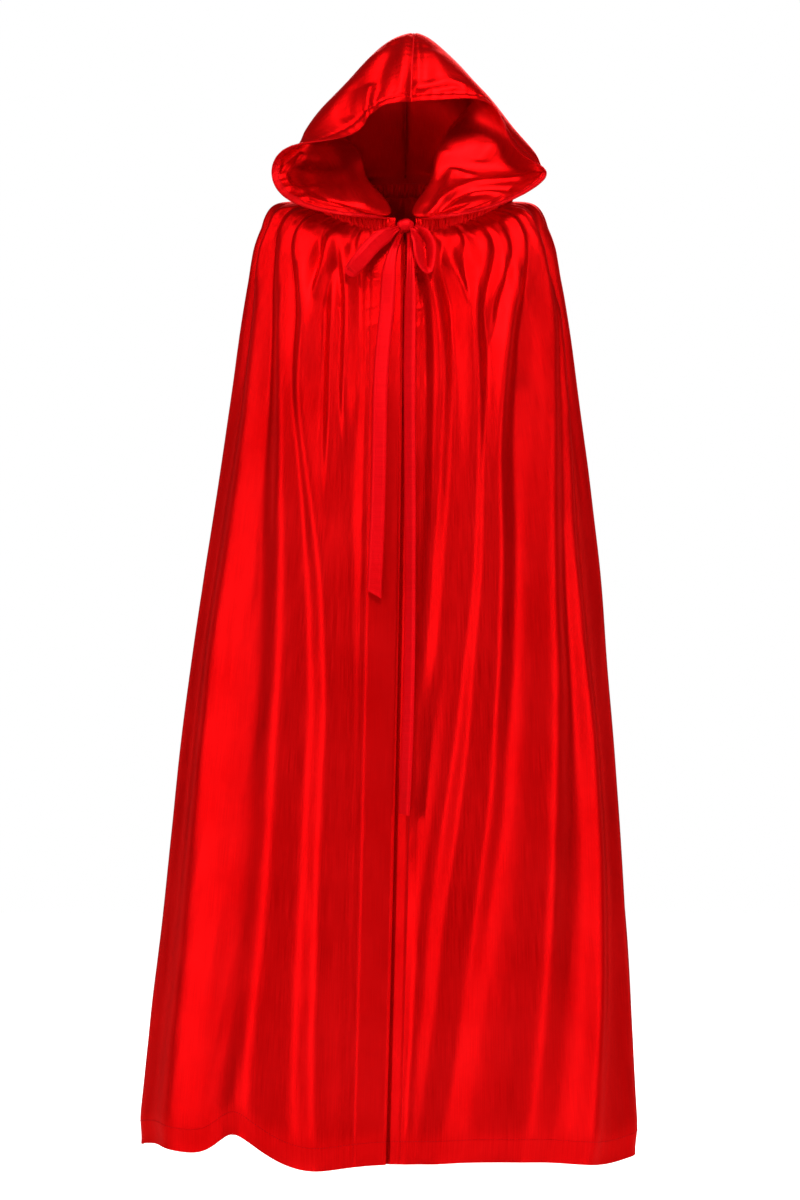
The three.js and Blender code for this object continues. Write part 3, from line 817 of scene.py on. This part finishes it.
@dataclass
class NeckCasing:
    """The ruched band at the neck that the tie ribbon runs through."""

    half_width: float = 0.158
    front: float = 0.092
    back: float = 0.090
    throat: float = -0.003
    side: float = 0.050
    nape: float = 0.062
    height: float = 0.024
    depth: float = 0.0075
    end: float = 0.015

    def ring(self, angle: Array, rise: Array | float = 0.0) -> Array:
        """A point of the neck ring: an oval that climbs from the throat over the sides to the nape."""
        c, s = np.cos(angle), np.sin(angle)
        front = c > 0
        depth = np.where(front, self.front, self.back)
        centre = np.where(front, self.throat, self.nape)
        return np.stack([self.half_width * s, -depth * c,
                         self.side + (centre - self.side) * c * c + rise], -1)

    def surface(self, u: Array, v: Array) -> Array:
        """The band's skin: u along the ring, v round its flat oval section, pulled into ruches.

        A ruche is sqrt(sin^2 + 0.05), sharp in the hollow and round on top. Its phase wanders
        along the ring and leans round the section, its height is uneven, and a finer ripple
        crosses it. All of it fades at the section's top and bottom, where the seams are.
        """
        start = math.asin(self.end / self.half_width)
        angle = mix(start, 2 * math.pi - start, u)
        turn = 2 * math.pi * v
        place = self.ring(angle)
        out = unit(np.stack([np.sin(angle) / self.half_width,
                             -np.cos(angle) / self.front, np.zeros_like(angle)], -1))
        phase = angle * 78.0 + 2.6 * ripple(angle * 11.0, 2.0) + 0.6 * np.sin(turn)
        ruche = np.sqrt(np.sin(phase) ** 2 + 0.05) - 0.6
        belly = np.abs(np.cos(turn)) ** 0.8
        uneven = 0.75 + 0.55 * ripple(angle * 23.0, 7.0)
        crossed = 0.0009 * ripple(angle * 60.0 + 2.0 * np.sin(turn), 3.0)
        thick = self.depth / 2 * 0.85 + (0.0036 * ruche * uneven + crossed) * belly
        tall = self.height / 2 * (0.98 + 0.06 * ripple(angle * 70.0, 1.0))
        rounded = np.sign(np.sin(turn)) * np.abs(np.sin(turn)) ** 0.7
        return (place + out * (np.cos(turn) * thick)[..., None]
                + np.stack([np.zeros_like(tall), np.zeros_like(tall), rounded * tall], -1))

    def build(self, finishes: Finishes) -> None:
        """Makes the band and its two rows of stitches, and hides the model's casing and ribbon parts."""
        u, v = np.meshgrid(np.linspace(0, 1, 1300), np.arange(20) / 20, indexing="ij")
        band = tube_mesh("neck_casing_satin", self.surface(u, v), finishes.satin, (0.80, 0.056))
        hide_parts("neck_casing", "neck_ribbon")
        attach(band, "cape_body")
        fine = np.linspace(0.002, 0.998, 1600)
        rows = [StitchRow(self.surface, fine, np.full(1600, share), 0.0038) for share in (0.13, 0.87)]
        thread = stitching("neck_casing_stitching", rows, finishes.thread)
        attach(thread, "cape_body")
        log.info("neck_casing_satin, neck_casing_stitching")


# ---------------------------------------------------------------- the hood


class Side(Enum):
    """The wearer's side that a piece belongs to, with its sign along X."""

    RIGHT = -1
    LEFT = 1


def millimetres(rows: list) -> Array:
    """A nested list of millimetres as an array of metres."""
    return np.array(rows, float) / 1000.0


HOOD_SEAT_ANGLES = (7.0, 22.0, 42.0, 100.0, 143.0, 180.0)
# Rows climb from the neck to the crown; columns are the face edge, the lobe, the fold at the
# neck, the side and the rear quarter.
HOOD_NET = {
    Side.RIGHT: millimetres([
        [[-88, -120, 10], [-102, -108, 32], [-23, -91, 14], [-70, 10, 68], [-62, 72, 82]],
        [[-166, -95, 31], [-120, -76, 56], [-50, -54, 57], [-74, 22, 82], [-64, 84, 98]],
        [[-199, -58, 74], [-136, -44, 82], [-64, -36, 90], [-82, 30, 104], [-67, 92, 122]],
        [[-177, -74, 113], [-150, -32, 112], [-82, -24, 122], [-96, 38, 136], [-70, 95, 152]],
        [[-112, -112, 123], [-148, -52, 142], [-122, 6, 158], [-104, 46, 172], [-68, 93, 187]],
        [[-66, -121, 139], [-102, -80, 184], [-98, -22, 204], [-84, 38, 214], [-54, 78, 228]],
        [[-41, -112, 170], [-46, -82, 214], [-41, -36, 260], [-30, 10, 275], [-20, 58, 270]],
    ]),
    Side.LEFT: millimetres([
        [[60, -120, 7], [88, -108, 28], [13, -91, 12], [70, 10, 68], [62, 72, 82]],
        [[142, -100, 28], [120, -78, 52], [35, -55, 57], [74, 22, 82], [64, 84, 98]],
        [[209, -55, 72], [152, -44, 80], [45, -38, 90], [82, 30, 104], [67, 92, 122]],
        [[184, -72, 97], [178, -40, 108], [56, -28, 126], [96, 38, 136], [70, 95, 152]],
        [[152, -94, 130], [153, -48, 150], [84, -8, 166], [104, 46, 172], [68, 93, 187]],
        [[126, -101, 177], [114, -66, 202], [102, -18, 208], [90, 38, 216], [58, 78, 228]],
        [[66, -104, 184], [70, -74, 228], [58, -32, 262], [48, 10, 275], [38, 58, 270]],
    ]),
}
BACK_SEAM = millimetres([[0, 98, 92], [0, 109, 112], [0, 118, 138], [0, 121, 168], [1, 116, 203],
                         [3, 104, 232], [5, 94, 252]])
CROWN_SEAM = millimetres([[8, -98, 181], [10, -76, 236], [12, -45, 272], [13, -5, 293], [11, 45, 287],
                          [7, 84, 266]])


HOOD_SPAN = np.array([0.36, 0.42])  # a hood half's rough width and length in metres


@dataclass(frozen=True)
class Crease:
    """A soft crease along a line of (u, v) places, with its half width and its height in metres."""

    places: tuple[tuple[float, float], ...]
    width: float
    height: float

    def height_at(self, u: Array, v: Array) -> Array:
        """The crease's height: a bell curve of the distance to its line, in rough metres."""
        here = np.stack([u, v], -1) * HOOD_SPAN
        line = np.array(self.places) * HOOD_SPAN
        nearest = np.full(np.shape(u), np.inf)
        for start, end in zip(line[:-1], line[1:]):
            way = end - start
            share = np.clip((here - start) @ way / (way @ way), 0, 1)
            away = np.linalg.norm(here - start - share[..., None] * way, axis=-1)
            nearest = np.minimum(nearest, away)
        return self.height * bump(nearest, 0.0, self.width)


@dataclass
class Hood:
    """The hood's two halves, their face hems, the crown seam's tape and all their stitching."""

    casing: NeckCasing
    cloth: float = 0.0007
    seat_rise: float = 0.0095
    hem: float = 0.038  # the face hem's share of each half, from the face edge to the back seam
    hinge_drop: float = 0.007
    bend_length: float = 0.10

    def net(self, side: Side) -> Array:
        """The control points of one half: neck seat, then the rows of the hood, then the crown."""
        angles = np.radians(HOOD_SEAT_ANGLES) * side.value
        seat = self.casing.ring(angles, self.seat_rise)
        body = np.concatenate([HOOD_NET[side], BACK_SEAM[:, None]], axis=1)
        return np.concatenate([seat[None], body, CROWN_SEAM[None]])

    def skin(self, side: Side) -> Surface:
        """One half as a smooth surface: u from the face edge to the back seam, v from neck to crown.

        Natural cubics run through the net both ways; the lowest row is then moved onto the neck
        ring, and the rows above follow it less and less.
        """
        net = self.net(side)
        rows, columns = np.linspace(0, 1, net.shape[0]), np.linspace(0, 1, net.shape[1])

        def read(u: Array, v: Array) -> Array:
            """The net's two cubics, multiplied out."""
            return np.einsum("...i,...j,ijk->...k", spline_weights(rows, v),
                             spline_weights(columns, u), net)

        def surface(u: Array, v: Array) -> Array:
            """The net's surface with its lowest edge pulled onto the neck ring."""
            u, v = np.broadcast_arrays(u, v)
            seat = self.casing.ring(np.radians(np.interp(u, columns, HOOD_SEAT_ANGLES)) * side.value,
                                    self.seat_rise)
            pull = np.clip(1 - v, 0, 1)[..., None] ** 6
            return read(u, v) + (seat - read(u, np.zeros_like(v))) * pull

        return surface

    def surface(self, side: Side) -> Surface:
        """The skin with its hem step, its seam groove and its creases, facing outwards."""
        base = self.skin(side)
        flip = side is Side.RIGHT

        def shaped(u: Array, v: Array) -> Array:
            """The skin moved along its normals by the relief."""
            across = 1 - u if flip else u
            up = 1 - v
            place = base(across, up)
            normal = surface_normals(lambda a, b: base(1 - a if flip else a, 1 - b), u, v)
            return place + normal * self.relief(side, across, up)[..., None]

        return shaped

    def relief(self, side: Side, u: Array, v: Array) -> Array:
        """How far the cloth stands off the smooth skin.

        The hem is a step up at the face edge with a groove and puckers along its stitches, the
        crown seam is a bell-shaped groove with fine pinches, and the creases are added to them.
        """
        hem_line = bump(u, self.hem, 0.009)
        step = 0.0008 * (1 - smooth(self.hem - 0.004, self.hem + 0.004, u))
        puckers = 0.0011 * bump(u, self.hem, 0.03) * ripple(v * 190.0, side.value + 3.0)
        groove = -0.0028 * bump(v, 1.0, 0.010)
        pinches = 0.0003 * bump(v, 1.0, 0.04) * ripple(u * 85.0 + v * 20.0, 2.5 + side.value)
        total = step - 0.0013 * hem_line + puckers + groove + pinches
        for crease in HOOD_CREASES[side]:
            total = total + crease.height_at(u, v)
        return total

    def build(self, finishes: Finishes) -> None:
        """Makes both halves, the hems, the tape and the stitches."""
        ring_tilt = unit(np.array([0.0, -(self.casing.nape - self.casing.throat),
                                   self.casing.front + self.casing.back]))
        start = self.casing.ring(np.array(math.pi / 2), self.seat_rise) * np.array([0, 1, 1])
        start = start - np.array([0.0, 0.0, self.hinge_drop])
        end = start + ring_tilt * self.bend_length
        rows = []
        for side in Side:
            name = side.name.lower()
            surface = self.surface(side)
            half = cloth_sheet(f"hood_{name}_satin", surface, np.linspace(0, 1, 150),
                               np.linspace(0, 1, 170), (-self.cloth, 0.0), (0.40, 0.42), finishes.satin)
            self.fasten(half, f"hood_{name}_half", (0.40, 0.33), 0.110, start, end)
            strip = np.linspace(0.0, self.hem, 8)
            strip = 1 - strip[::-1] if side is Side.RIGHT else strip
            hem = cloth_sheet(f"hood_{name}_hem_satin", surface, strip, np.linspace(0.0, 0.985, 170),
                              (-2.6 * self.cloth, -1.2 * self.cloth), (0.40, 0.42), finishes.underside)
            self.fasten(hem, f"hood_{name}_face_hem", (0.016, 0.30), 0.0046, start, end)
            fine = np.linspace(0.004, 0.98, 1400)
            for share, lift in ((0.005, 0.0003), (self.hem - 0.003, 0.0003)):
                place = np.full(1400, 1 - share if side is Side.RIGHT else share)
                rows.append(StitchRow(surface, place, fine, 0.0032, lift=lift))
                rows.append(StitchRow(surface, place, fine, 0.0032, lift=-lift - 2.6 * self.cloth))
        tape = self.tape(finishes)
        self.fasten(tape, "hood_crown_seam_tape", (0.010, 0.45), 0.004, start, end)
        thread = stitching("hood_stitching", rows, finishes.thread)
        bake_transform(thread)
        log.info("hood_stitching")

    def tape(self, finishes: Finishes) -> bpy.types.Object:
        """The seam allowances: a narrow double tape that stands inwards along crown and back seam."""
        right, left = self.skin(Side.RIGHT), self.skin(Side.LEFT)
        inside = np.array([0.0, -0.01, 0.15])

        def surface(u: Array, v: Array) -> Array:
            """The tape: v over the crown and down the back seam, u inwards from the seam."""
            over = v < 0.5
            along_u = np.where(over, 2 * v, 1.0)
            along_v = np.where(over, 1.0, 2 - 2 * v)
            place = (right(along_u, along_v) + left(along_u, along_v)) / 2
            inward = (inside - place) * np.array([0.0, 1.0, 1.0])
            return place + unit(inward) * (0.0012 + 0.008 * u)[..., None]

        return cloth_sheet("hood_seam_tape_satin", surface, np.linspace(0, 1, 5),
                           np.linspace(0.01, 0.97, 160), (-0.0008, 0.0008), (0.008, 0.5),
                           finishes.underside)

    @staticmethod
    def fasten(piece: bpy.types.Object, node: str, flat: tuple[float, float], area: float,
               start: Array, end: Array) -> None:
        """Makes a hood piece stand for its node, with its transform baked into its mesh."""
        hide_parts(node)
        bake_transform(piece)
        log.info("%s", piece.name)


# Positive heights stand outwards; the lobes are seen from inside, so their ridges are negative.
HOOD_CREASES = {
    Side.RIGHT: (
        Crease(((0.42, 0.93), (0.23, 0.90), (0.12, 0.885), (0.04, 0.86)), 0.012, -0.0034),
        Crease(((0.50, 0.965), (0.26, 0.965), (0.02, 0.965)), 0.006, 0.0016),
        Crease(((0.16, 0.86), (0.05, 0.83), (0.0, 0.80)), 0.008, 0.0032),
        Crease(((0.36, 0.87), (0.23, 0.79), (0.17, 0.72), (0.15, 0.64)), 0.018, 0.0035),
        Crease(((0.20, 0.80), (0.09, 0.75)), 0.011, -0.0028),
        Crease(((0.31, 0.50), (0.31, 0.39), (0.30, 0.26), (0.30, 0.16)), 0.012, -0.0030),
        Crease(((0.17, 0.48), (0.12, 0.42), (0.07, 0.37), (0.057, 0.31), (0.09, 0.27)), 0.007, -0.0030),
        Crease(((0.21, 0.44), (0.16, 0.37), (0.15, 0.30)), 0.011, 0.0028),
        Crease(((0.05, 0.42), (0.02, 0.36), (0.03, 0.30)), 0.004, -0.0016),
        Crease(((0.03, 0.25), (0.084, 0.222), (0.09, 0.15), (0.08, 0.07)), 0.006, -0.0032),
        Crease(((0.14, 0.24), (0.16, 0.16), (0.14, 0.08)), 0.008, 0.0032),
    ),
    Side.LEFT: (
        Crease(((0.07, 0.985), (0.097, 0.93), (0.124, 0.885), (0.11, 0.84)), 0.009, 0.0024),
        Crease(((0.03, 0.985), (0.057, 0.944), (0.07, 0.896), (0.084, 0.867)), 0.007, -0.0018),
        Crease(((0.36, 0.955), (0.12, 0.955)), 0.009, -0.0016),
        Crease(((0.30, 0.93), (0.17, 0.92)), 0.018, 0.0032),
        Crease(((0.40, 0.982), (0.02, 0.982)), 0.005, 0.0012),
        Crease(((0.285, 0.334), (0.326, 0.358), (0.332, 0.299), (0.305, 0.19)), 0.006, -0.0028),
        Crease(((0.38, 0.45), (0.39, 0.35), (0.40, 0.28), (0.36, 0.19)), 0.010, -0.0030),
        Crease(((0.33, 0.10), (0.305, 0.175), (0.292, 0.24), (0.252, 0.287), (0.198, 0.317),
                (0.138, 0.346)), 0.006, -0.0040),
        Crease(((0.30, 0.10), (0.279, 0.198), (0.245, 0.234), (0.191, 0.257), (0.12, 0.28)), 0.006, 0.0038),
        Crease(((0.225, 0.21), (0.164, 0.234), (0.06, 0.269)), 0.006, -0.0034),
        Crease(((0.044, 0.175), (0.07, 0.24)), 0.006, -0.0022),
        Crease(((0.285, 0.52), (0.285, 0.44)), 0.006, -0.0014),
    ),
}


# ---------------------------------------------------------------- the tie


@dataclass
class Tie:
    """The ribbon bow at the throat: a knot, two loops and two tails."""

    body: CapeBody
    width: float = 0.022
    thickness: float = 0.0007
    clearance: float = 0.007
    knot: tuple[float, float, float] = (0.013, 0.010, 0.010)
    knot_forward: float = 0.004
    throat: float = -0.003
    gap: float = 0.0007
    pinch: float = 0.36  # how wide a ribbon still is where it enters the knot, as a share
    edge_roll: float = 0.0026
    crimp: float = 0.0009
    wrap: tuple[float, float] = (0.0056, 0.0011)  # the band's half width and half thickness
    wrap_fit: float = 0.96  # the band's radius, as a share of the knot's
    wrap_slant: float = 0.0018

    @property
    def knot_centre(self) -> Array:
        """The middle of the knot."""
        return np.array([0, -self.body.neck_front - self.knot_forward, self.throat])

    def knot_exit(self, degrees: float, forward: float = 0.0) -> Array:
        """Where a ribbon leaves the knot, at an angle from straight down."""
        wide = math.sqrt(1 - (forward / self.knot[1]) ** 2)
        turn = math.radians(degrees)
        return np.array([(self.knot[0] * wide + self.gap) * math.sin(turn),
                         -self.body.neck_front - self.knot_forward - forward,
                         self.throat - (self.knot[2] * wide + self.gap) * math.cos(turn)])

    def front_y(self, x: float, z: float) -> float:
        """How far forward the front cloth stands behind a place in the front view."""
        level = np.linspace(0, 1, 400)
        fall = np.clip(-z / self.body.drop, 0, 1)
        line = self.body.point(self.body.angle_at(x - self.body.lean * fall**1.5, level), level)
        return float(np.interp(-z, -line[:, 2], line[:, 1]))

    def ribbon(self, name: str, places: Array, turn: float, ends: int, cut: float,
               material: bpy.types.Material) -> tuple[bpy.types.Object, Array]:
        """A flat ribbon along a smooth path, gathered to a narrow end wherever it enters the knot.

        Args:
            name: the object's name.
            places: the path's points.
            turn: the width's turn about the path, away from the front plane, in radians.
            ends: how many of its ends are in the knot.
            cut: how far the free end is cut on the slant.
            material: the finish.

        Returns:
            The object, and the path that it follows.
        """
        knots = distances(places)
        knots = knots / knots[-1]
        count = 220
        t = np.linspace(0, 1, count)
        path = spline(knots, places, t)
        along = unit(np.gradient(path, axis=0))
        across = unit(np.cross(np.array([0.0, -1.0, 0.0]), along))
        lifted = np.cross(along, across)
        wander = turn * smooth(-0.02, 0.08, t) + 0.10 * ripple(t * 9.0, turn * 7.0) * smooth(0, 0.2, t)
        side = across * np.cos(wander)[:, None] + lifted * np.sin(wander)[:, None]
        face = np.cross(along, side)
        open_share = smooth(0, 0.14, t) * (smooth(0, 0.14, 1 - t) if ends == 2 else 1)
        half = mix(self.pinch, 1.0, open_share) * self.width / 2
        s = np.sin(np.linspace(-math.pi / 2, math.pi / 2, 17))
        # A flat face whose edges roll back, crimped by pleats where it enters the knot.
        cup = self.edge_roll * (1 - s**6) * open_share[:, None]
        crimp = self.crimp * np.cos(s * 9.0) * (1 - open_share)[:, None]
        profile = (path[:, None] + side[:, None] * (s * half[:, None])[..., None]
                   + face[:, None] * (cup + crimp)[..., None])
        profile = profile + along[:, None] * (cut * s * smooth(0.97, 1.0, t)[:, None])[..., None]
        lift = face[:, None] * self.thickness / 2
        rings = np.concatenate([profile + lift, (profile - lift)[:, ::-1]], axis=1)
        return tube_mesh(name, rings, material, (float(distances(path)[-1]), 2 * self.width)), path

    def build(self, finishes: Finishes) -> None:
        """Makes the knot with its band, the tails and the loops."""
        self.build_knot(finishes)
        self.build_wrap(finishes)
        for name, side, exit_angle, turn, places, cut in (
                ("right", "right_tie", -25.0, 0.12, RIGHT_TAIL, 0.006),
                ("left", "left_tie", 25.0, 0.75, LEFT_TAIL, 0.002)):
            clear = self.clearance + self.width / 2 * math.sin(turn)
            hanging = [[x, self.front_y(x, z) - clear, z] for x, z in millimetres(places)]
            start = self.knot_exit(exit_angle)
            tail, path = self.ribbon(f"tie_{name}_tail_ribbon", np.array([start, *hanging]), turn, 1,
                                     cut, finishes.ribbon)
            self.fasten(tail, f"tie_{name}_tail", side, path, "bare")
        for name, side, (out, back), turn, places in (
                ("right", "right_tie", ((-80.0, 0.002), (-62.0, 0.006)), 0.25, RIGHT_LOOP),
                ("left", "left_tie", ((80.0, 0.002), (62.0, 0.006)), 0.9, LEFT_LOOP)):
            middle = millimetres(places) + np.array([0, -self.body.neck_front - self.knot_forward, 0])
            points = np.array([self.knot_exit(*out), *middle, self.knot_exit(*back)])
            loop, path = self.ribbon(f"tie_{name}_loop_ribbon", points, turn, 2, 0.0, finishes.ribbon)
            self.fasten(loop, f"tie_{name}_loop", side, path, "object")

    def build_knot(self, finishes: Finishes) -> None:
        """The knot: an egg of pleated ribbon with a waist."""
        turn, tilt = np.meshgrid(np.linspace(0, 2 * math.pi, 64, endpoint=False),
                                 np.linspace(0.06, math.pi - 0.06, 40))
        pleat = 1 + 0.045 * np.cos(6 * turn + 2.5 * np.cos(tilt)) * np.sin(tilt)
        waist = 1 - 0.10 * bump(np.cos(tilt), 0.1, 0.25)
        x = self.knot[0] * np.cos(tilt)
        radius = 0.94 * np.sin(tilt) ** 0.8 * pleat * waist
        y, z = self.knot[1] * radius * np.cos(turn), self.knot[2] * radius * np.sin(turn)
        rings = np.stack([x, y, z], -1) + self.knot_centre
        knot = tube_mesh("tie_knot_ribbon", rings, finishes.ribbon, (0.03, 0.06))
        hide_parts("tie_knot")
        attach(knot, "cape_body")
        log.info("tie_knot_ribbon")

    def build_wrap(self, finishes: Finishes) -> None:
        """The narrow band that is wrapped round the knot's middle, on a slant."""
        around = np.linspace(0, 2 * math.pi, 72, endpoint=False)
        section = np.linspace(0, 2 * math.pi, 16, endpoint=False)
        a, b = np.meshgrid(around, section, indexing="ij")
        across = self.wrap[0] * np.cos(b) * (1 + 0.15 * np.sin(3 * a))
        thick = self.wrap[1] * np.sin(b)
        rim = self.wrap_fit * (1.0 + 0.06 * np.cos(2 * a + 0.6))
        ring = np.stack([across + self.wrap_slant * np.sin(a),
                         (self.knot[1] * rim + thick) * np.cos(a),
                         (self.knot[2] * rim + thick) * np.sin(a)], -1) + self.knot_centre
        closed = np.concatenate([ring, ring[:1]])
        wrap = tube_mesh("tie_knot_wrap_ribbon", closed, finishes.ribbon, (0.06, 0.024), ends=False)
        weld(wrap)
        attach(wrap, "cape_body")
        log.info("tie_knot_wrap_ribbon")

    def fasten(self, piece: bpy.types.Object, node: str, body: str, path: Array, far_end: str) -> None:
        """Makes a ribbon stand for its node and ride on its body."""
        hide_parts(node)
        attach(piece, body)


# Ribbon routes in millimetres: x and z for the tails, which hang against the front, and x,
# distance in front of the knot, and z for the loops.
RIGHT_TAIL = [[-20, -48], [-26, -108], [-33, -183], [-38, -300], [-41, -430], [-46, -550]]
LEFT_TAIL = [[7, -48], [7, -108], [6, -183], [6, -300], [7, -480], [5, -680], [-2, -872]]
RIGHT_LOOP = [[-44, -12, -26], [-70, -19, -56], [-79, -26, -70], [-72, -31, -64], [-46, -27, -34]]
LEFT_LOOP = [[32, -10, -20], [38, -16, -50], [32, -22, -68], [24, -27, -58], [19, -24, -34]]


# ---------------------------------------------------------------- the studio


@dataclass(frozen=True)
class Softbox:
    """A large soft light, aimed at a point of the cape."""

    name: str
    place: tuple[float, float, float]
    aim: tuple[float, float, float]
    width: float
    height: float
    power: float

    def build(self) -> None:
        """Adds the light."""
        lamp = bpy.data.lights.new(self.name, "AREA")
        lamp.shape, lamp.size, lamp.size_y, lamp.energy = "RECTANGLE", self.width, self.height, self.power
        light = bpy.data.objects.new(self.name, lamp)
        light.location = self.place
        away = np.array(self.place) - np.array(self.aim)
        flat = math.hypot(away[0], away[1])
        light.rotation_euler = (math.atan2(flat, away[2]), 0.0, math.atan2(away[0], -away[1]))
        bpy.context.scene.collection.objects.link(light)


@dataclass
class Studio:
    """A pale floor, a white surround, soft lights and the camera in front of the cape."""

    centre_x: float = -0.008
    centre_z: float = -0.558
    frame_height: float = 1.80
    distance: float = 8.0
    floor_z: float = -1.50

    def build(self) -> None:
        """Sets up camera, world, floor and lights."""
        scene = bpy.context.scene
        lens = bpy.data.cameras.new("camera")
        lens.sensor_fit, lens.sensor_height = "VERTICAL", 24.0
        lens.lens = 24.0 * self.distance / self.frame_height
        camera = bpy.data.objects.new("camera", lens)
        camera.location = (self.centre_x, -self.distance, self.centre_z)
        camera.rotation_euler = (math.pi / 2, 0.0, 0.0)
        scene.collection.objects.link(camera)
        scene.camera = camera
        scene.view_settings.view_transform = "Standard"
        self.world(scene)
        self.floor()
        for box in SOFTBOXES:
            box.build()
        log.info("studio")

    @staticmethod
    def world(scene: bpy.types.Scene) -> None:
        """A white surround that lights the cape only weakly."""
        world = bpy.data.worlds.new("surround")
        world.use_nodes = True
        tree = world.node_tree
        tree.nodes.clear()
        make = NodeMaker(tree)
        seen = make.add("ShaderNodeLightPath")
        strength = make.add("ShaderNodeMapRange", {"Value": seen.outputs["Is Camera Ray"],
                                                   "To Min": 0.185, "To Max": 1.0})
        light = make.add("ShaderNodeBackground", {"Color": (1, 1, 1, 1),
                                                  "Strength": strength.outputs[0]})
        end = make.add("ShaderNodeOutputWorld")
        tree.links.new(light.outputs[0], end.inputs[0])
        scene.world = world

    def floor(self) -> None:
        """A plain pale floor below the hem."""
        reach = 8.0
        points = np.array([[-reach, -reach, self.floor_z], [reach, -reach, self.floor_z],
                           [reach, reach, self.floor_z], [-reach, reach, self.floor_z]])
        pale = bpy.data.materials.new("pale_floor")
        pale.use_nodes = True
        shader = pale.node_tree.nodes["Principled BSDF"]
        shader.inputs["Base Color"].default_value = (0.9, 0.9, 0.9, 1.0)
        shader.inputs["Roughness"].default_value = 0.9
        shader.inputs["Emission Color"].default_value = (1.0, 1.0, 1.0, 1.0)
        make = NodeMaker(pale.node_tree)
        seen = make.add("ShaderNodeLightPath")
        glow = make.add("ShaderNodeMapRange", {"Value": seen.outputs["Is Camera Ray"],
                                               "To Min": 0.05, "To Max": 0.85})
        pale.node_tree.links.new(glow.outputs[0], shader.inputs["Emission Strength"])
        mesh_object("floor", points, np.array([[0, 1, 2, 3]]), pale)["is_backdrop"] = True


SOFTBOXES = (
    Softbox("key_softbox", (0.5, -5.2, 4.0), (0, 0, -0.5), 0.9, 1.6, 262.0),
    Softbox("top_softbox", (0.3, -1.6, 3.4), (0, 0, 0.1), 1.6, 1.0, 55.0),
    Softbox("high_left_softbox", (-2.8, -2.6, 2.8), (0, 0, 0.1), 1.3, 1.3, 55.0),
    Softbox("left_softbox", (-4.0, -3.5, -0.2), (0, 0, -0.6), 0.5, 3.0, 59.0),
    Softbox("right_softbox", (4.0, -3.5, -0.2), (0, 0, -0.6), 0.5, 3.0, 53.0),
    Softbox("left_rim", (-4.5, 2.2, -0.4), (0, 0, -0.6), 0.8, 3.0, 15.0),
    Softbox("right_rim", (4.5, 2.2, -0.4), (0, 0, -0.6), 0.8, 3.0, 15.0),
    Softbox("back_softbox", (0.6, 3.6, 1.2), (0, 0, -0.5), 2.4, 2.4, 90.0),
)


def corners() -> list:
    """The whole object's box as plain lists."""
    return [[float(x) for x in corner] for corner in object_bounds()]


def main() -> None:
    """Builds the studio and every sub-assembly, and logs the names of most pieces."""
    logging.basicConfig(level=logging.INFO, format="%(name)s: %(message)s")
    Studio().build()
    finishes = Finishes()
    body = CapeBody()
    casing = NeckCasing()
    Tie(body).build(finishes)
    casing.build(finishes)
    body.build(finishes)
    Hood(casing).build(finishes)


if __name__ == "__main__":
    main()
